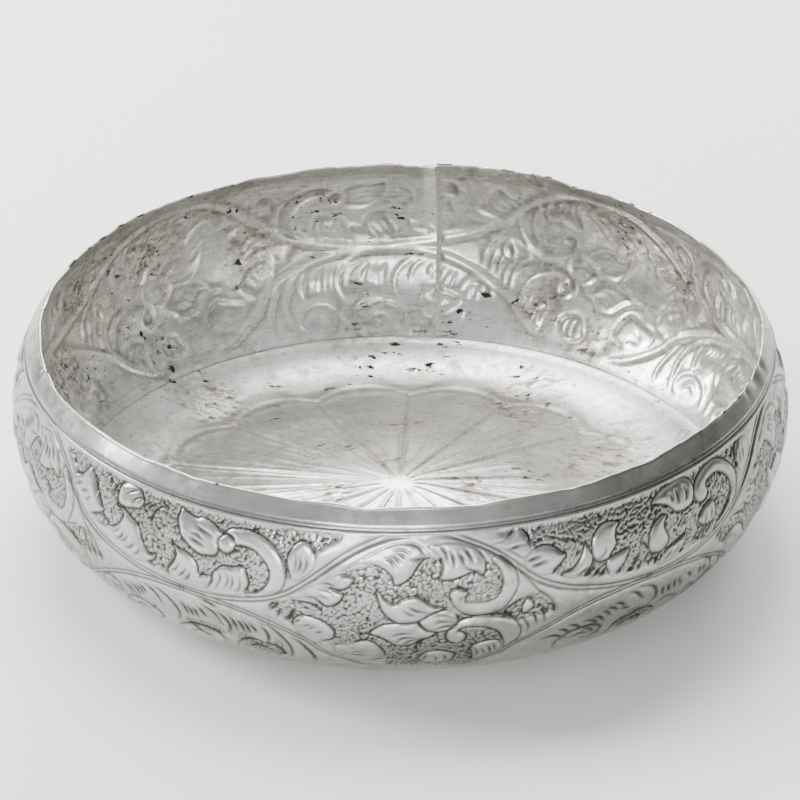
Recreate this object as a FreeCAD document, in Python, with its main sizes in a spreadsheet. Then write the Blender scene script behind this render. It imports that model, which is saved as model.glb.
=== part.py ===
"""Offering bowl in silver sheet, as a parametric FreeCAD document in millimetres.

The bowl is two sheets and the two solder joints that hold them.
  wall_sheet   a strip, bowed in section and rolled into a ring; its ends overlap in a lap seam
  base_dish    a dish, pushed up to a low cone, whose edge stands inside the foot of the wall
  seam_solder  the solder in the lap of the wall, with a bead along each free edge
  base_solder  the solder between the dish and the wall, with a bead under the wall's foot

The origin is the centre of the flat ring that the bowl stands on, and +Z is up. Turns are
counted from the free edge of the strip's inner end. After it comes the lap, where the inner
end lies on the outer end, and then the joggle, where the strip steps out to its full radius.
"""
import FreeCAD
import Part
import Sketcher
import math
import os
import re

SIZES = {
    "bowl_height": 74.2,        # to the top of the rim
    "belly_radius": 130.0,      # outside of the wall where it is widest
    "bow_radius": 48.0,         # outside of the wall's bow, in section
    "rim_inset": 9.0,           # how far the rim's outside lies in from the belly's
    "collar_height": 6.5,       # plain band between the collar line and the rim
    "sheet_thickness": 0.8,     # wall
    "rim_thickness": 1.2,       # wall, hammered thicker at the rim
    "dish_thickness": 0.8,      # base dish
    "wall_foot_height": 3.8,    # lower edge of the wall
    "dish_edge_height": 9.9,    # upper edge of the dish, inside the wall
    "heel_bend_radius": 12.0,   # bend between the dish's side and the standing ring, underside
    "bow_dip": 1.0,             # how far the dish's bow, without the heel's bend, would pass z = 0
    "standing_width": 4.3,      # of the flat ring that the bowl stands on
    "cone_bend_radius": 40.0,   # bend between the standing ring and the cone, underside
    "crown_radius": 60.0,       # rounding of the cone's top, underside
    "crown_height": 13.2,       # underside of the cone's top
    "seam_turn": 84.2,          # degrees from +X to the free edge of the strip's inner end
    "lap_width": 7.0,           # overlap of the strip's two ends
    "joggle_length": 4.0,       # run of the step that lets one end lie inside the other
    "solder_film": 0.2,         # solder between two sheets
    "bead_width": 1.6,          # solder bead along a free edge
    "bead_feather": 0.05,       # thin edge of a bead
    "film_recess": 0.5,         # the base solder stops this far below the dish's edge
    "notch_gap": 0.4,           # room round the strip's inner end in the dish's notch
}

# Turns round the bowl, in degrees, from lengths along the belly.
LAP_TURN = "lap_width / belly_radius * 180 / pi"
JOGGLE_TURN = "joggle_length / belly_radius * 180 / pi"
STEP_TURN = f"({LAP_TURN} + {JOGGLE_TURN})"
BEAD_TURN = "bead_width / belly_radius * 180 / pi"
GAP_TURN = "notch_gap / belly_radius * 180 / pi"
NOTCH_START = f"-({BEAD_TURN} + {GAP_TURN})"
NOTCH_SWEEP = f"({BEAD_TURN} + {STEP_TURN} + 2 * {GAP_TURN})"

# How far a skin lies inside the wall's outside, over the bow and at the rim.
OUTSIDE = ("0", "0")
SHEET_INSIDE = ("sheet_thickness", "rim_thickness")
LAPPED_OUTSIDE = ("(sheet_thickness + solder_film)", "(rim_thickness + solder_film)")
LAPPED_INSIDE = ("(2 * sheet_thickness + solder_film)", "(2 * rim_thickness + solder_film)")

BOW_CENTRE_RADIUS = "belly_radius - bow_radius"
BOW_CENTRE_HEIGHT = "(bow_radius - sheet_thickness - solder_film - bow_dip)"
DISH_OUTSIDE_RADIUS = "bow_radius - sheet_thickness - solder_film"
RIM_RADIUS = "belly_radius - rim_inset"

ORIGIN = (-1, 1)
START, END, CENTRE = 1, 2, 3

doc = FreeCAD.newDocument("OfferingBowl")
sheet = doc.addObject("Spreadsheet::Sheet", "Sizes")
for row, (alias, number) in enumerate(SIZES.items(), start=1):
    sheet.set(f"A{row}", alias)
    sheet.set(f"B{row}", str(number))
    sheet.setAlias(f"B{row}", alias)
doc.recompute()


def value_of(words):
    """The number that words, an expression of the sheet's sizes, comes to now."""
    return float(sheet.evalExpression(words))


def bind(thing, prop, words):
    """Ties one of a thing's properties to an expression of the sheet's sizes."""
    thing.setExpression(prop, re.sub(r"\b[a-z]+(_[a-z]+)+\b", r"Sizes.\g<0>", words))


def origin_feature(body, role):
    return next(f for f in body.Origin.OriginFeatures if f.Role == role)


def new_body(name):
    """A body whose X axis points at the free edge of the strip's inner end."""
    body = doc.addObject("PartDesign::Body", name)
    body.Label = name
    body.Placement = FreeCAD.Placement(
        FreeCAD.Vector(), FreeCAD.Rotation(FreeCAD.Vector(0, 0, 1), value_of("seam_turn")))
    bind(body, "Placement.Rotation.Angle", "seam_turn")
    return body


def new_section(body, name, turn="0"):
    """A sketch in the half plane through the bowl's axis at a turn: x is radius and y is height."""
    section = body.newObject("Sketcher::SketchObject", name)
    section.AttachmentSupport = (origin_feature(body, "XZ_Plane"), [""])
    section.MapMode = "FlatFace"
    if turn != "0":
        section.AttachmentOffset = FreeCAD.Placement(
            FreeCAD.Vector(), FreeCAD.Rotation(FreeCAD.Vector(0, 1, 0), value_of(turn)))
        bind(section, "AttachmentOffset.Rotation.Angle", turn)
    return section


def dimension(section, kind, where, words):
    """A dimension of a sketch, tied to an expression of the sheet's sizes."""
    index = section.addConstraint(Sketcher.Constraint(kind, *where, value_of(words)))
    bind(section, f"Constraints[{index}]", words)


def place(section, point, radius=None, height=None):
    """Dimensions a point of a sketch from the bowl's axis and from the table."""
    if radius is not None:
        dimension(section, "DistanceX", (*ORIGIN, *point), radius)
    if height is not None:
        dimension(section, "DistanceY", (*ORIGIN, *point), height)


def join(section, *pairs):
    """Makes each pair of points of a sketch one point."""
    for first, second in pairs:
        section.addConstraint(Sketcher.Constraint("Coincident", *first, *second))


def arc(section, centre, radius, start, end):
    """An arc about a (radius, height) centre, anticlockwise between two angles in radians."""
    circle = Part.Circle(FreeCAD.Vector(*centre, 0), FreeCAD.Vector(0, 0, 1), radius)
    return section.addGeometry(Part.ArcOfCircle(circle, start, end))


def line(section, start, end):
    return section.addGeometry(
        Part.LineSegment(FreeCAD.Vector(*start, 0), FreeCAD.Vector(*end, 0)))


def on_bow(radius, height):
    """The angle, and the (radius, height) point, where an arc of the bow passes a height."""
    centre = (value_of(BOW_CENTRE_RADIUS), value_of(BOW_CENTRE_HEIGHT))
    angle = math.asin((height - centre[1]) / radius)
    return angle, (centre[0] + radius * math.cos(angle), height)


def wall_band(body, name, turn, outer, inner, rounded=True):
    """Section of a band of the wall between two skins, from its foot to the rim.

    Over the bow both skins are arcs about one centre; over the collar they are straight, up to
    where the sheet's rounded edge starts. The sheet has that half round, the solder stops flat.
    """
    section = new_section(body, name, turn)
    top = "bowl_height - rim_thickness / 2"
    outer_radius = f"bow_radius - {outer[0]}"
    inner_radius = f"bow_radius - {inner[0]}"
    collar_line = "bowl_height - collar_height"
    centre = (value_of(BOW_CENTRE_RADIUS), value_of(BOW_CENTRE_HEIGHT))
    foot_angle, outer_foot = on_bow(value_of(outer_radius), value_of("wall_foot_height"))
    outer_angle, outer_collar = on_bow(value_of(outer_radius), value_of(collar_line))
    inner_angle, inner_collar = on_bow(value_of(inner_radius), value_of(collar_line))
    inner_foot = (centre[0] + value_of(inner_radius) * math.cos(foot_angle),
                  centre[1] + value_of(inner_radius) * math.sin(foot_angle))
    outer_top = (value_of(f"{RIM_RADIUS} - {outer[1]}"), value_of(top))
    inner_top = (value_of(f"{RIM_RADIUS} - {inner[1]}"), value_of(top))

    outer_arc = arc(section, centre, value_of(outer_radius), foot_angle, outer_angle)
    outer_line = line(section, outer_collar, outer_top)
    if rounded:
        rim_centre = ((outer_top[0] + inner_top[0]) / 2, outer_top[1])
        rim = arc(section, rim_centre, (outer_top[0] - inner_top[0]) / 2, 0, math.pi)
    else:
        rim = line(section, outer_top, inner_top)
    inner_line = line(section, inner_top, inner_collar)
    inner_arc = arc(section, centre, value_of(inner_radius), foot_angle, inner_angle)
    foot = line(section, inner_foot, outer_foot)

    join(section,
         ((outer_arc, END), (outer_line, START)), ((outer_line, END), (rim, START)),
         ((rim, END), (inner_line, START)), ((inner_line, END), (inner_arc, END)),
         ((inner_arc, START), (foot, START)), ((foot, END), (outer_arc, START)),
         ((outer_arc, CENTRE), (inner_arc, CENTRE)))
    place(section, (outer_arc, CENTRE), BOW_CENTRE_RADIUS, BOW_CENTRE_HEIGHT)
    dimension(section, "Radius", (outer_arc,), outer_radius)
    dimension(section, "Radius", (inner_arc,), inner_radius)
    place(section, (outer_arc, START), height="wall_foot_height")
    section.addConstraint(Sketcher.Constraint("PointOnObject", outer_arc, CENTRE, foot))
    place(section, (outer_arc, END), height=collar_line)
    place(section, (inner_arc, END), height=collar_line)
    if rounded:
        half = f"({inner[1]} - {outer[1]}) / 2"
        place(section, (rim, CENTRE), f"{RIM_RADIUS} - ({inner[1]} + {outer[1]}) / 2", top)
        dimension(section, "Radius", (rim,), half)
        for end in (START, END):
            section.addConstraint(Sketcher.Constraint("Horizontal", rim, end, rim, CENTRE))
    else:
        place(section, (rim, START), f"{RIM_RADIUS} - {outer[1]}", top)
        place(section, (rim, END), f"{RIM_RADIUS} - {inner[1]}", top)
    return section


def revolve(body, name, section, sweep, kind="PartDesign::Revolution"):
    """Turns a section about the bowl's axis through a sweep, anticlockwise from above."""
    feature = body.newObject(kind, name)
    feature.Profile = section
    feature.ReferenceAxis = (origin_feature(body, "Z_Axis"), [""])
    feature.Angle = value_of(sweep)
    bind(feature, "Angle", sweep)
    return feature


def loft(body, name, first, second):
    """A straight-sided solid between two sections of the same outline."""
    feature = body.newObject("PartDesign::AdditiveLoft", name)
    feature.Profile = first
    feature.Sections = [second]
    feature.Ruled = True
    return feature


def make_wall_sheet():
    """The strip: nearly a full turn, then the joggle, then the inner end under the lap."""
    body = new_body("wall_sheet")
    full = wall_band(body, "FullSection", STEP_TURN, OUTSIDE, SHEET_INSIDE)
    revolve(body, "Ring", full, f"360 - {JOGGLE_TURN}")
    stepped = wall_band(body, "SteppedSection", LAP_TURN, LAPPED_OUTSIDE, LAPPED_INSIDE)
    loft(body, "Joggle", stepped, full)
    end = wall_band(body, "EndSection", "0", LAPPED_OUTSIDE, LAPPED_INSIDE)
    revolve(body, "InnerEnd", end, LAP_TURN)
    return body


def make_seam_solder():
    """The film in the lap, the bead on the inner free edge and the fill against the outer one."""
    body = new_body("seam_solder")
    film = wall_band(body, "FilmSection", "0", SHEET_INSIDE, LAPPED_OUTSIDE, rounded=False)
    revolve(body, "Film", film, LAP_TURN)

    thick = wall_band(body, "InnerBeadEdge", "0", SHEET_INSIDE, LAPPED_INSIDE, rounded=False)
    feathered = tuple(f"({skin} + bead_feather)" for skin in SHEET_INSIDE)
    thin = wall_band(body, "InnerBeadFeather", f"-{BEAD_TURN}", SHEET_INSIDE, feathered,
                     rounded=False)
    loft(body, "InnerBead", thin, thick)

    # The fill ends where the joggle has come most of the way out.
    share = 0.8
    left = tuple(f"({1 - share:.2f} * {skin})" for skin in LAPPED_OUTSIDE)
    skinned = tuple(f"({skin} - bead_feather)" for skin in left)
    groove = wall_band(body, "OuterFillEdge", LAP_TURN, OUTSIDE, LAPPED_OUTSIDE, rounded=False)
    shallow = wall_band(body, "OuterFillFeather", f"{LAP_TURN} + {share} * {JOGGLE_TURN}",
                        skinned, left, rounded=False)
    loft(body, "OuterFill", groove, shallow)
    return body


def dish_section(body):
    """Section of the dish: down the wall's bow, round the heel, along the ring, up the cone.

    The underside and the upper side have the same run of curves, one sheet apart.
    """
    section = new_section(body, "DishSection")
    skins = []
    for rise in ("0", "dish_thickness"):
        lift = value_of(rise)
        bow = value_of(DISH_OUTSIDE_RADIUS) - lift
        bow_centre = (value_of(BOW_CENTRE_RADIUS), value_of(BOW_CENTRE_HEIGHT))
        edge_angle, edge_point = on_bow(bow, value_of("dish_edge_height"))
        # The heel's circle stands on the ring and touches the inside of the bow's circle.
        heel = value_of("heel_bend_radius") - lift
        heel_height = value_of("heel_bend_radius")
        reach = math.sqrt((bow - heel) ** 2 - (bow_centre[1] - heel_height) ** 2)
        heel_centre = (bow_centre[0] + reach, heel_height)
        heel_angle = math.atan2(heel_height - bow_centre[1], reach)
        ring_end = heel_centre[0] - value_of("standing_width")
        # The cone is the line that touches the bend's circle from below and the crown's from above.
        bend = value_of("cone_bend_radius") - lift
        bend_centre = (ring_end, value_of("cone_bend_radius"))
        crown = value_of("crown_radius") + lift
        crown_centre = (0.0, value_of("crown_height - crown_radius"))
        run, climb = ring_end, bend_centre[1] - crown_centre[1]
        lean = math.atan2(climb, run) + math.acos((bend + crown) / math.hypot(run, climb))
        cone_top = (crown * math.cos(lean), crown_centre[1] + crown * math.sin(lean))
        cone_foot = (ring_end - bend * math.cos(lean), bend_centre[1] - bend * math.sin(lean))

        bow_arc = arc(section, bow_centre, bow, heel_angle, edge_angle)
        heel_arc = arc(section, heel_centre, heel, -math.pi / 2, heel_angle)
        ring = line(section, (heel_centre[0], lift), (ring_end, lift))
        bend_arc = arc(section, bend_centre, bend, lean + math.pi, 3 * math.pi / 2)
        cone = line(section, cone_foot, cone_top)
        crown_arc = arc(section, crown_centre, crown, lean, math.pi / 2)
        place(section, (bow_arc, CENTRE), BOW_CENTRE_RADIUS, BOW_CENTRE_HEIGHT)
        place(section, (bow_arc, END), height="dish_edge_height")
        place(section, (ring, END), height=rise)
        dimension(section, "Distance", (ring,), "standing_width")
        section.addConstraint(Sketcher.Constraint("Horizontal", ring))
        dimension(section, "Radius", (bow_arc,), f"{DISH_OUTSIDE_RADIUS} - {rise}")
        dimension(section, "Radius", (heel_arc,), f"heel_bend_radius - {rise}")
        dimension(section, "Radius", (bend_arc,), f"cone_bend_radius - {rise}")
        dimension(section, "Radius", (crown_arc,), f"crown_radius + {rise}")
        for touching in ((bow_arc, START, heel_arc, END), (heel_arc, START, ring, START),
                         (ring, END, bend_arc, END), (bend_arc, START, cone, START),
                         (cone, END, crown_arc, START)):
            section.addConstraint(Sketcher.Constraint("Tangent", *touching))
        section.addConstraint(Sketcher.Constraint("PointOnObject", crown_arc, CENTRE, -2))
        section.addConstraint(Sketcher.Constraint("PointOnObject", crown_arc, END, -2))
        place(section, (crown_arc, END), height=f"crown_height + {rise}")
        skins.append({"edge": (bow_arc, END), "crown": (crown_arc, END),
                      "edge_at": edge_point,
                      "crown_at": (0.0, crown_centre[1] + crown)})
    for end in ("edge", "crown"):
        closing = line(section, skins[0][f"{end}_at"], skins[1][f"{end}_at"])
        join(section, (skins[0][end], (closing, START)), (skins[1][end], (closing, END)))
    return section


def make_base_dish():
    """The dish, with a notch in its edge that the inner end of the strip lies in."""
    body = new_body("base_dish")
    revolve(body, "Dish", dish_section(body), "360")

    notch = new_section(body, "NotchSection", NOTCH_START)
    left, right = BOW_CENTRE_RADIUS, "belly_radius"
    low, high = "wall_foot_height - notch_gap", "dish_edge_height + notch_gap"
    corners = [(left, low), (right, low), (right, high), (left, high)]
    points = [tuple(value_of(words) for words in corner) for corner in corners]
    sides = [line(notch, points[i], points[(i + 1) % 4]) for i in range(4)]
    join(notch, *(((sides[i], END), (sides[(i + 1) % 4], START)) for i in range(4)))
    for side, direction in zip(sides, ("Horizontal", "Vertical", "Horizontal", "Vertical")):
        notch.addConstraint(Sketcher.Constraint(direction, side))
    place(notch, (sides[0], START), left, low)
    place(notch, (sides[2], START), right, high)
    revolve(body, "Notch", notch, NOTCH_SWEEP, kind="PartDesign::Groove")
    return body


def make_base_solder():
    """The solder between dish and wall, and its bead from the wall's foot on to the dish."""
    body = new_body("base_solder")
    section = new_section(body, "RingSection", f"{STEP_TURN} + {GAP_TURN}")
    centre = (value_of(BOW_CENTRE_RADIUS), value_of(BOW_CENTRE_HEIGHT))
    film_top = "dish_edge_height - film_recess"
    wall_inside = "bow_radius - sheet_thickness"
    inner, outer = value_of(DISH_OUTSIDE_RADIUS), value_of(wall_inside)
    foot_angle, wall_foot = on_bow(value_of("bow_radius"), value_of("wall_foot_height"))
    bead_angle = foot_angle - value_of("bead_width") / inner
    inner_angle, inner_top = on_bow(inner, value_of(film_top))
    outer_angle, outer_top = on_bow(outer, value_of(film_top))
    bead_end = (centre[0] + inner * math.cos(bead_angle), centre[1] + inner * math.sin(bead_angle))
    film_foot = (centre[0] + outer * math.cos(foot_angle), centre[1] + outer * math.sin(foot_angle))

    inner_arc = arc(section, centre, inner, bead_angle, inner_angle)
    top = line(section, inner_top, outer_top)
    outer_arc = arc(section, centre, outer, foot_angle, outer_angle)
    wall_edge = line(section, film_foot, wall_foot)
    bead = line(section, wall_foot, bead_end)
    join(section,
         ((inner_arc, END), (top, START)), ((top, END), (outer_arc, END)),
         ((outer_arc, START), (wall_edge, START)), ((wall_edge, END), (bead, START)),
         ((bead, END), (inner_arc, START)), ((inner_arc, CENTRE), (outer_arc, CENTRE)))
    place(section, (inner_arc, CENTRE), BOW_CENTRE_RADIUS, BOW_CENTRE_HEIGHT)
    dimension(section, "Radius", (inner_arc,), DISH_OUTSIDE_RADIUS)
    dimension(section, "Radius", (outer_arc,), wall_inside)
    place(section, (inner_arc, END), height=film_top)
    section.addConstraint(Sketcher.Constraint("Horizontal", top))
    section.addConstraint(Sketcher.Constraint("PointOnObject", inner_arc, CENTRE, wall_edge))
    dimension(section, "Distance", (wall_edge,), "sheet_thickness")
    place(section, (wall_edge, END), height="wall_foot_height")
    dimension(section, "Distance", (bead,),
              "sqrt(bead_width ^ 2 + (sheet_thickness + solder_film) ^ 2)")
    revolve(body, "Ring", section, f"360 - {NOTCH_SWEEP}")
    return body


pieces = [make_wall_sheet(), make_base_dish(), make_seam_solder(), make_base_solder()]
doc.recompute()

for item in doc.Objects:
    if {"Invalid", "Error"} & set(item.State):
        raise RuntimeError(f"{item.Name} failed: {item.State}")
for piece in pieces:
    if piece.Shape.isNull() or not piece.Shape.isValid() or not piece.Shape.Solids:
        raise RuntimeError(f"{piece.Label} has no valid solid")

os.makedirs("parts", exist_ok=True)
for piece in pieces:
    piece.Shape.exportStep(f"parts/{piece.Label}.step")
    box = piece.Shape.BoundBox
    print(f"{piece.Label}: {len(piece.Shape.Solids)} solid, {piece.Shape.Volume:.0f} mm3, "
          f"z {box.ZMin:.2f} to {box.ZMax:.2f}, widest {max(box.XLength, box.YLength):.2f}")
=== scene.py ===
"""The looks of a chased silver offering bowl, made round its fixed CAD frame.

The bowl's wall is a strip of silver sheet with a chased relief: five medallions round the bowl,
and between them an upper and a lower lunette. Places on the strip are given in millimetres: x
runs round the bowl, measured at the belly, and v runs down the outside from the collar line.
"""
import math

import bmesh
import bpy
import numpy as np
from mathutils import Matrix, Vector


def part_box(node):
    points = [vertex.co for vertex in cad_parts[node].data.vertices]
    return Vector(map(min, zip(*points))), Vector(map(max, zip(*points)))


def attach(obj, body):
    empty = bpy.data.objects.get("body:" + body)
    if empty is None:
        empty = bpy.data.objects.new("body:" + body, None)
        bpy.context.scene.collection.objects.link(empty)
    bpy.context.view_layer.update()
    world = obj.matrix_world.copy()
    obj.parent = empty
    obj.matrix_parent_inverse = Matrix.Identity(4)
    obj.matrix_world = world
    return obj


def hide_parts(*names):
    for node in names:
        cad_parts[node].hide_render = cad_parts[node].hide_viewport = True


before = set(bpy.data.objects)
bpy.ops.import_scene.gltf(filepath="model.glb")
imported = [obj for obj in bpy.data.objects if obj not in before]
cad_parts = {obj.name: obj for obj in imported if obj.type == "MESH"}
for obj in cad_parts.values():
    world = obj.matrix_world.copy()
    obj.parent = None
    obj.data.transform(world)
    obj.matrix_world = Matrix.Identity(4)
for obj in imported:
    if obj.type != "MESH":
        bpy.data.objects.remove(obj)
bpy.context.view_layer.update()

bl_info = {
    "name": "Chased silver offering bowl",
    "version": (1, 0, 0),
    "blender": (4, 5, 0),
    "location": "View3D > Sidebar > Bowl",
    "description": "Builds the relief, the silver and the studio of an offering bowl",
    "category": "Add Mesh",
}

MM = 0.001

# The bowl's section, in millimetres.
BELLY = round(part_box("wall_sheet")[1][0] / MM, 1)
RIM_TOP = round(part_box("wall_sheet")[1][2] / MM, 1)
FOOT = round(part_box("wall_sheet")[0][2] / MM, 1)
DISH_EDGE = 9.9
BOW = 48.0
SHEET = 0.8
RIM_SHEET = 1.2
FILM = 0.2
BOW_CENTRE = (BELLY - BOW, BOW - SHEET - FILM - 1.0)
COLLAR_LINE = RIM_TOP - 6.5
COLLAR = 7.02                   # length of the collar's slope, from its line to the rim
RIM_RADIUS = BELLY - 9.0
TOP_ANGLE = math.asin((COLLAR_LINE - BOW_CENTRE[1]) / BOW)
FOOT_ANGLE = math.asin((FOOT - BOW_CENTRE[1]) / BOW)
HEEL_BEND = 12.0
STANDING_WIDTH = 4.3
CONE_BEND = 40.0
CROWN_BEND = 60.0
CROWN = 13.2

# Turns round the bowl, in degrees, counted from the strip's inner end, which is at SEAM_TURN.
SEAM_TURN = 84.2
LAP = math.degrees(7.0 / BELLY)
JOGGLE = math.degrees(4.0 / BELLY)
BEAD = 0.3                      # half width of the solder bead beside each free edge
NOTCH = (-math.degrees(2.0 / BELLY), LAP + JOGGLE + math.degrees(0.4 / BELLY))
NOTCH_FLOOR = FOOT - 0.4
SCARF = 0.45                    # mm filed off the dish, and off the strip's end behind it

# The relief repeats every fifth of a turn: a medallion, and the lunettes to the right of it.
REPEATS = 5
PERIOD_MM = math.radians(360.0 / REPEATS) * BELLY
FRONT_TURN = 4.0                # degrees to the right of the front where a medallion's middle is
FLOOR_FADE = (58.5, 63.0)       # v between which the relief dies out above the dish's edge

# How the chasing tools mark the sheet: depths in mm or as shares of the relief's depth.
FRAME_RISE = 0.42               # share that the plain frames stand over the border lines
FIELD_RISE = 0.5                # share that leaves and frames stand over the punched ground
PUSHED_IN = 0.5                 # share of the relief that shows on the inside
TOOL_DEPTH = 0.36               # mm that a full line or punch mark goes in
LEAF = (1.1, 2.4, 0.5)          # rise, width of the shoulder in mm, and depth of the outline
RIBBON = (1.4, 2.6, 0.9)
FINE_CUT = ((0.85, 1.1), 0.58)  # least and most depth, and half width in mm
LOW_CUT = ((1.15, 1.4), 0.75)
OUTLINE_WIDTH = 0.46
TWIN_LINE = (0.75, 0.42)        # a border's cuts: distance from its middle, and half width
WANDER = 0.15                   # mm that the hand strays from the pattern
RIBBON_WANDER = 0.1
COLLAR_LINES = ((0.4, 0.4, 0.46), (0.28, -0.7, 0.36))    # depth, v and half width of each

# The hammered rim. Directions are in degrees from +X.
# Dents: direction, half width in degrees, depth in mm.
RIM_DENTS = ((-16, 1.6, 1.5), (-11.5, 1.1, 0.9), (-21, 0.8, 0.7), (194, 1.3, 1.3), (118, 2.0, 0.7),
             (-48, 2.2, 0.6), (-78, 1.4, 0.5), (-96, 2.6, 0.5), (-133, 1.8, 0.5), (60, 1.4, 0.6))
# Where dirt sits: direction, half width in degrees.
RIM_DIRT = ((-32, 24), (66, 16), (150, 18))

# Where old stains and black flecks sit close together: their middle and their reach, in mm.
WALL_STAINS = (((-85, 91, 53), 20), ((-48, 115, 44), 10), ((52, 114, 18), 17), ((68, 100, 11), 16),
               ((96, 80, 46), 18), ((-107, 64, 56), 20), ((76, 99, 56), 18), ((-112, 50, 30), 14))
FLOOR_STAINS = (((70, 44, 7), 26), ((60, 27, 8), 16), ((41, 75, 8), 24), ((-3, 22, 12), 13),
                ((-62, 70, 6), 20), ((-24, -2, 12), 16), ((22, 4, 12), 15), ((2, 58, 9), 14))
# Painted shade on the outside's sides, a darker grey that stands in for dark reflections: the X in
# mm where it starts and is full, and its share.
PAINTED_SHADE_SIDES = ((20, 125, 0.85), (-60, -128, 0.6))

# The meshes' grids. The chased sheet has a row every 0.41 mm outside and 0.82 mm inside.
WALL_PANELS = 8
PANEL_COLUMNS = 256
COLLAR_ROWS = 17
BOW_ROWS = 179
INSIDE_ROW = 0.82
DISH_ROWS = 52
DISH_COLUMNS = 600
PETALS = 16
FIRST_CREASE = 19.9             # direction of one crease of the rosette, in degrees from +X

# The studio, in metres and watts: each lamp's place, the point it faces, its size and its power.
SOFT_BOXES = (("top_box", (-0.15, 0.5, 1.1), (0, 0, 0.03), (0.8, 0.6), 19),
              ("left_box", (-0.9, 0.15, 0.6), (0, 0, 0.05), (0.4, 0.5), 13),
              ("back_box", (0.25, 1.7, 0.95), (0, 0, 0.03), (1.6, 0.7), 48),
              ("front_box", (-0.2, -1.5, 0.35), (0, 0, 0.05), (0.9, 0.3), 13))
# Where the surroundings turn from dim to bright, along an axis of the direction one looks in.
BRIGHT_SIDES = (("Z", 0.2, 0.8), ("Y", 0.1, 0.8), ("X", 0.1, -0.9), ("Y", -0.55, -0.85))
LENS = 296.9
CAMERA_TILT = 28.97             # degrees that the camera looks down
CAMERA_AWAY = 17 * BELLY
TARGET_BELOW_RIM = 28.3


# ------------------------------------------------------------------ chased pattern, drawn
# A leaf or a ribbon is a closed outline, puffed up. A cut is a line from the chasing tool.

UPPER_BORDER = (
    (-84.4, 31.8), (-72, 31.6), (-62, 30.2), (-52, 27.3), (-46, 24.2), (-40, 19.5), (-35, 15.4),
    (-30, 11.2), (-25, 7.6), (-20, 4.8), (-15, 2.7), (-10, 1.4), (-3, 0.8), (5, 1.2), (10, 2.6),
    (15, 4.7), (20, 7.2), (25, 10.6), (30, 15), (35, 19.6), (40, 22.8), (46, 25.6), (52, 27.6),
    (62, 30), (72, 31.4), (79, 31.8))
LOWER_BORDERS = (
    ((-84.4, 32.8), (-72, 33.4), (-62, 35.2), (-56, 37), (-50, 39.4), (-45, 42), (-40, 45.4),
     (-37, 49.3), (-33, 52.8), (-28, 56.2), (-22, 59.4), (-14, 62.5), (-6, 66)),
    ((8, 66), (15, 61), (20, 57.6), (25, 54.4), (28, 51), (31, 48), (36, 45), (42, 41.3),
     (48, 38.3), (55, 35.6), (62, 33.8), (70, 32.9), (79, 32.8)))

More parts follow.
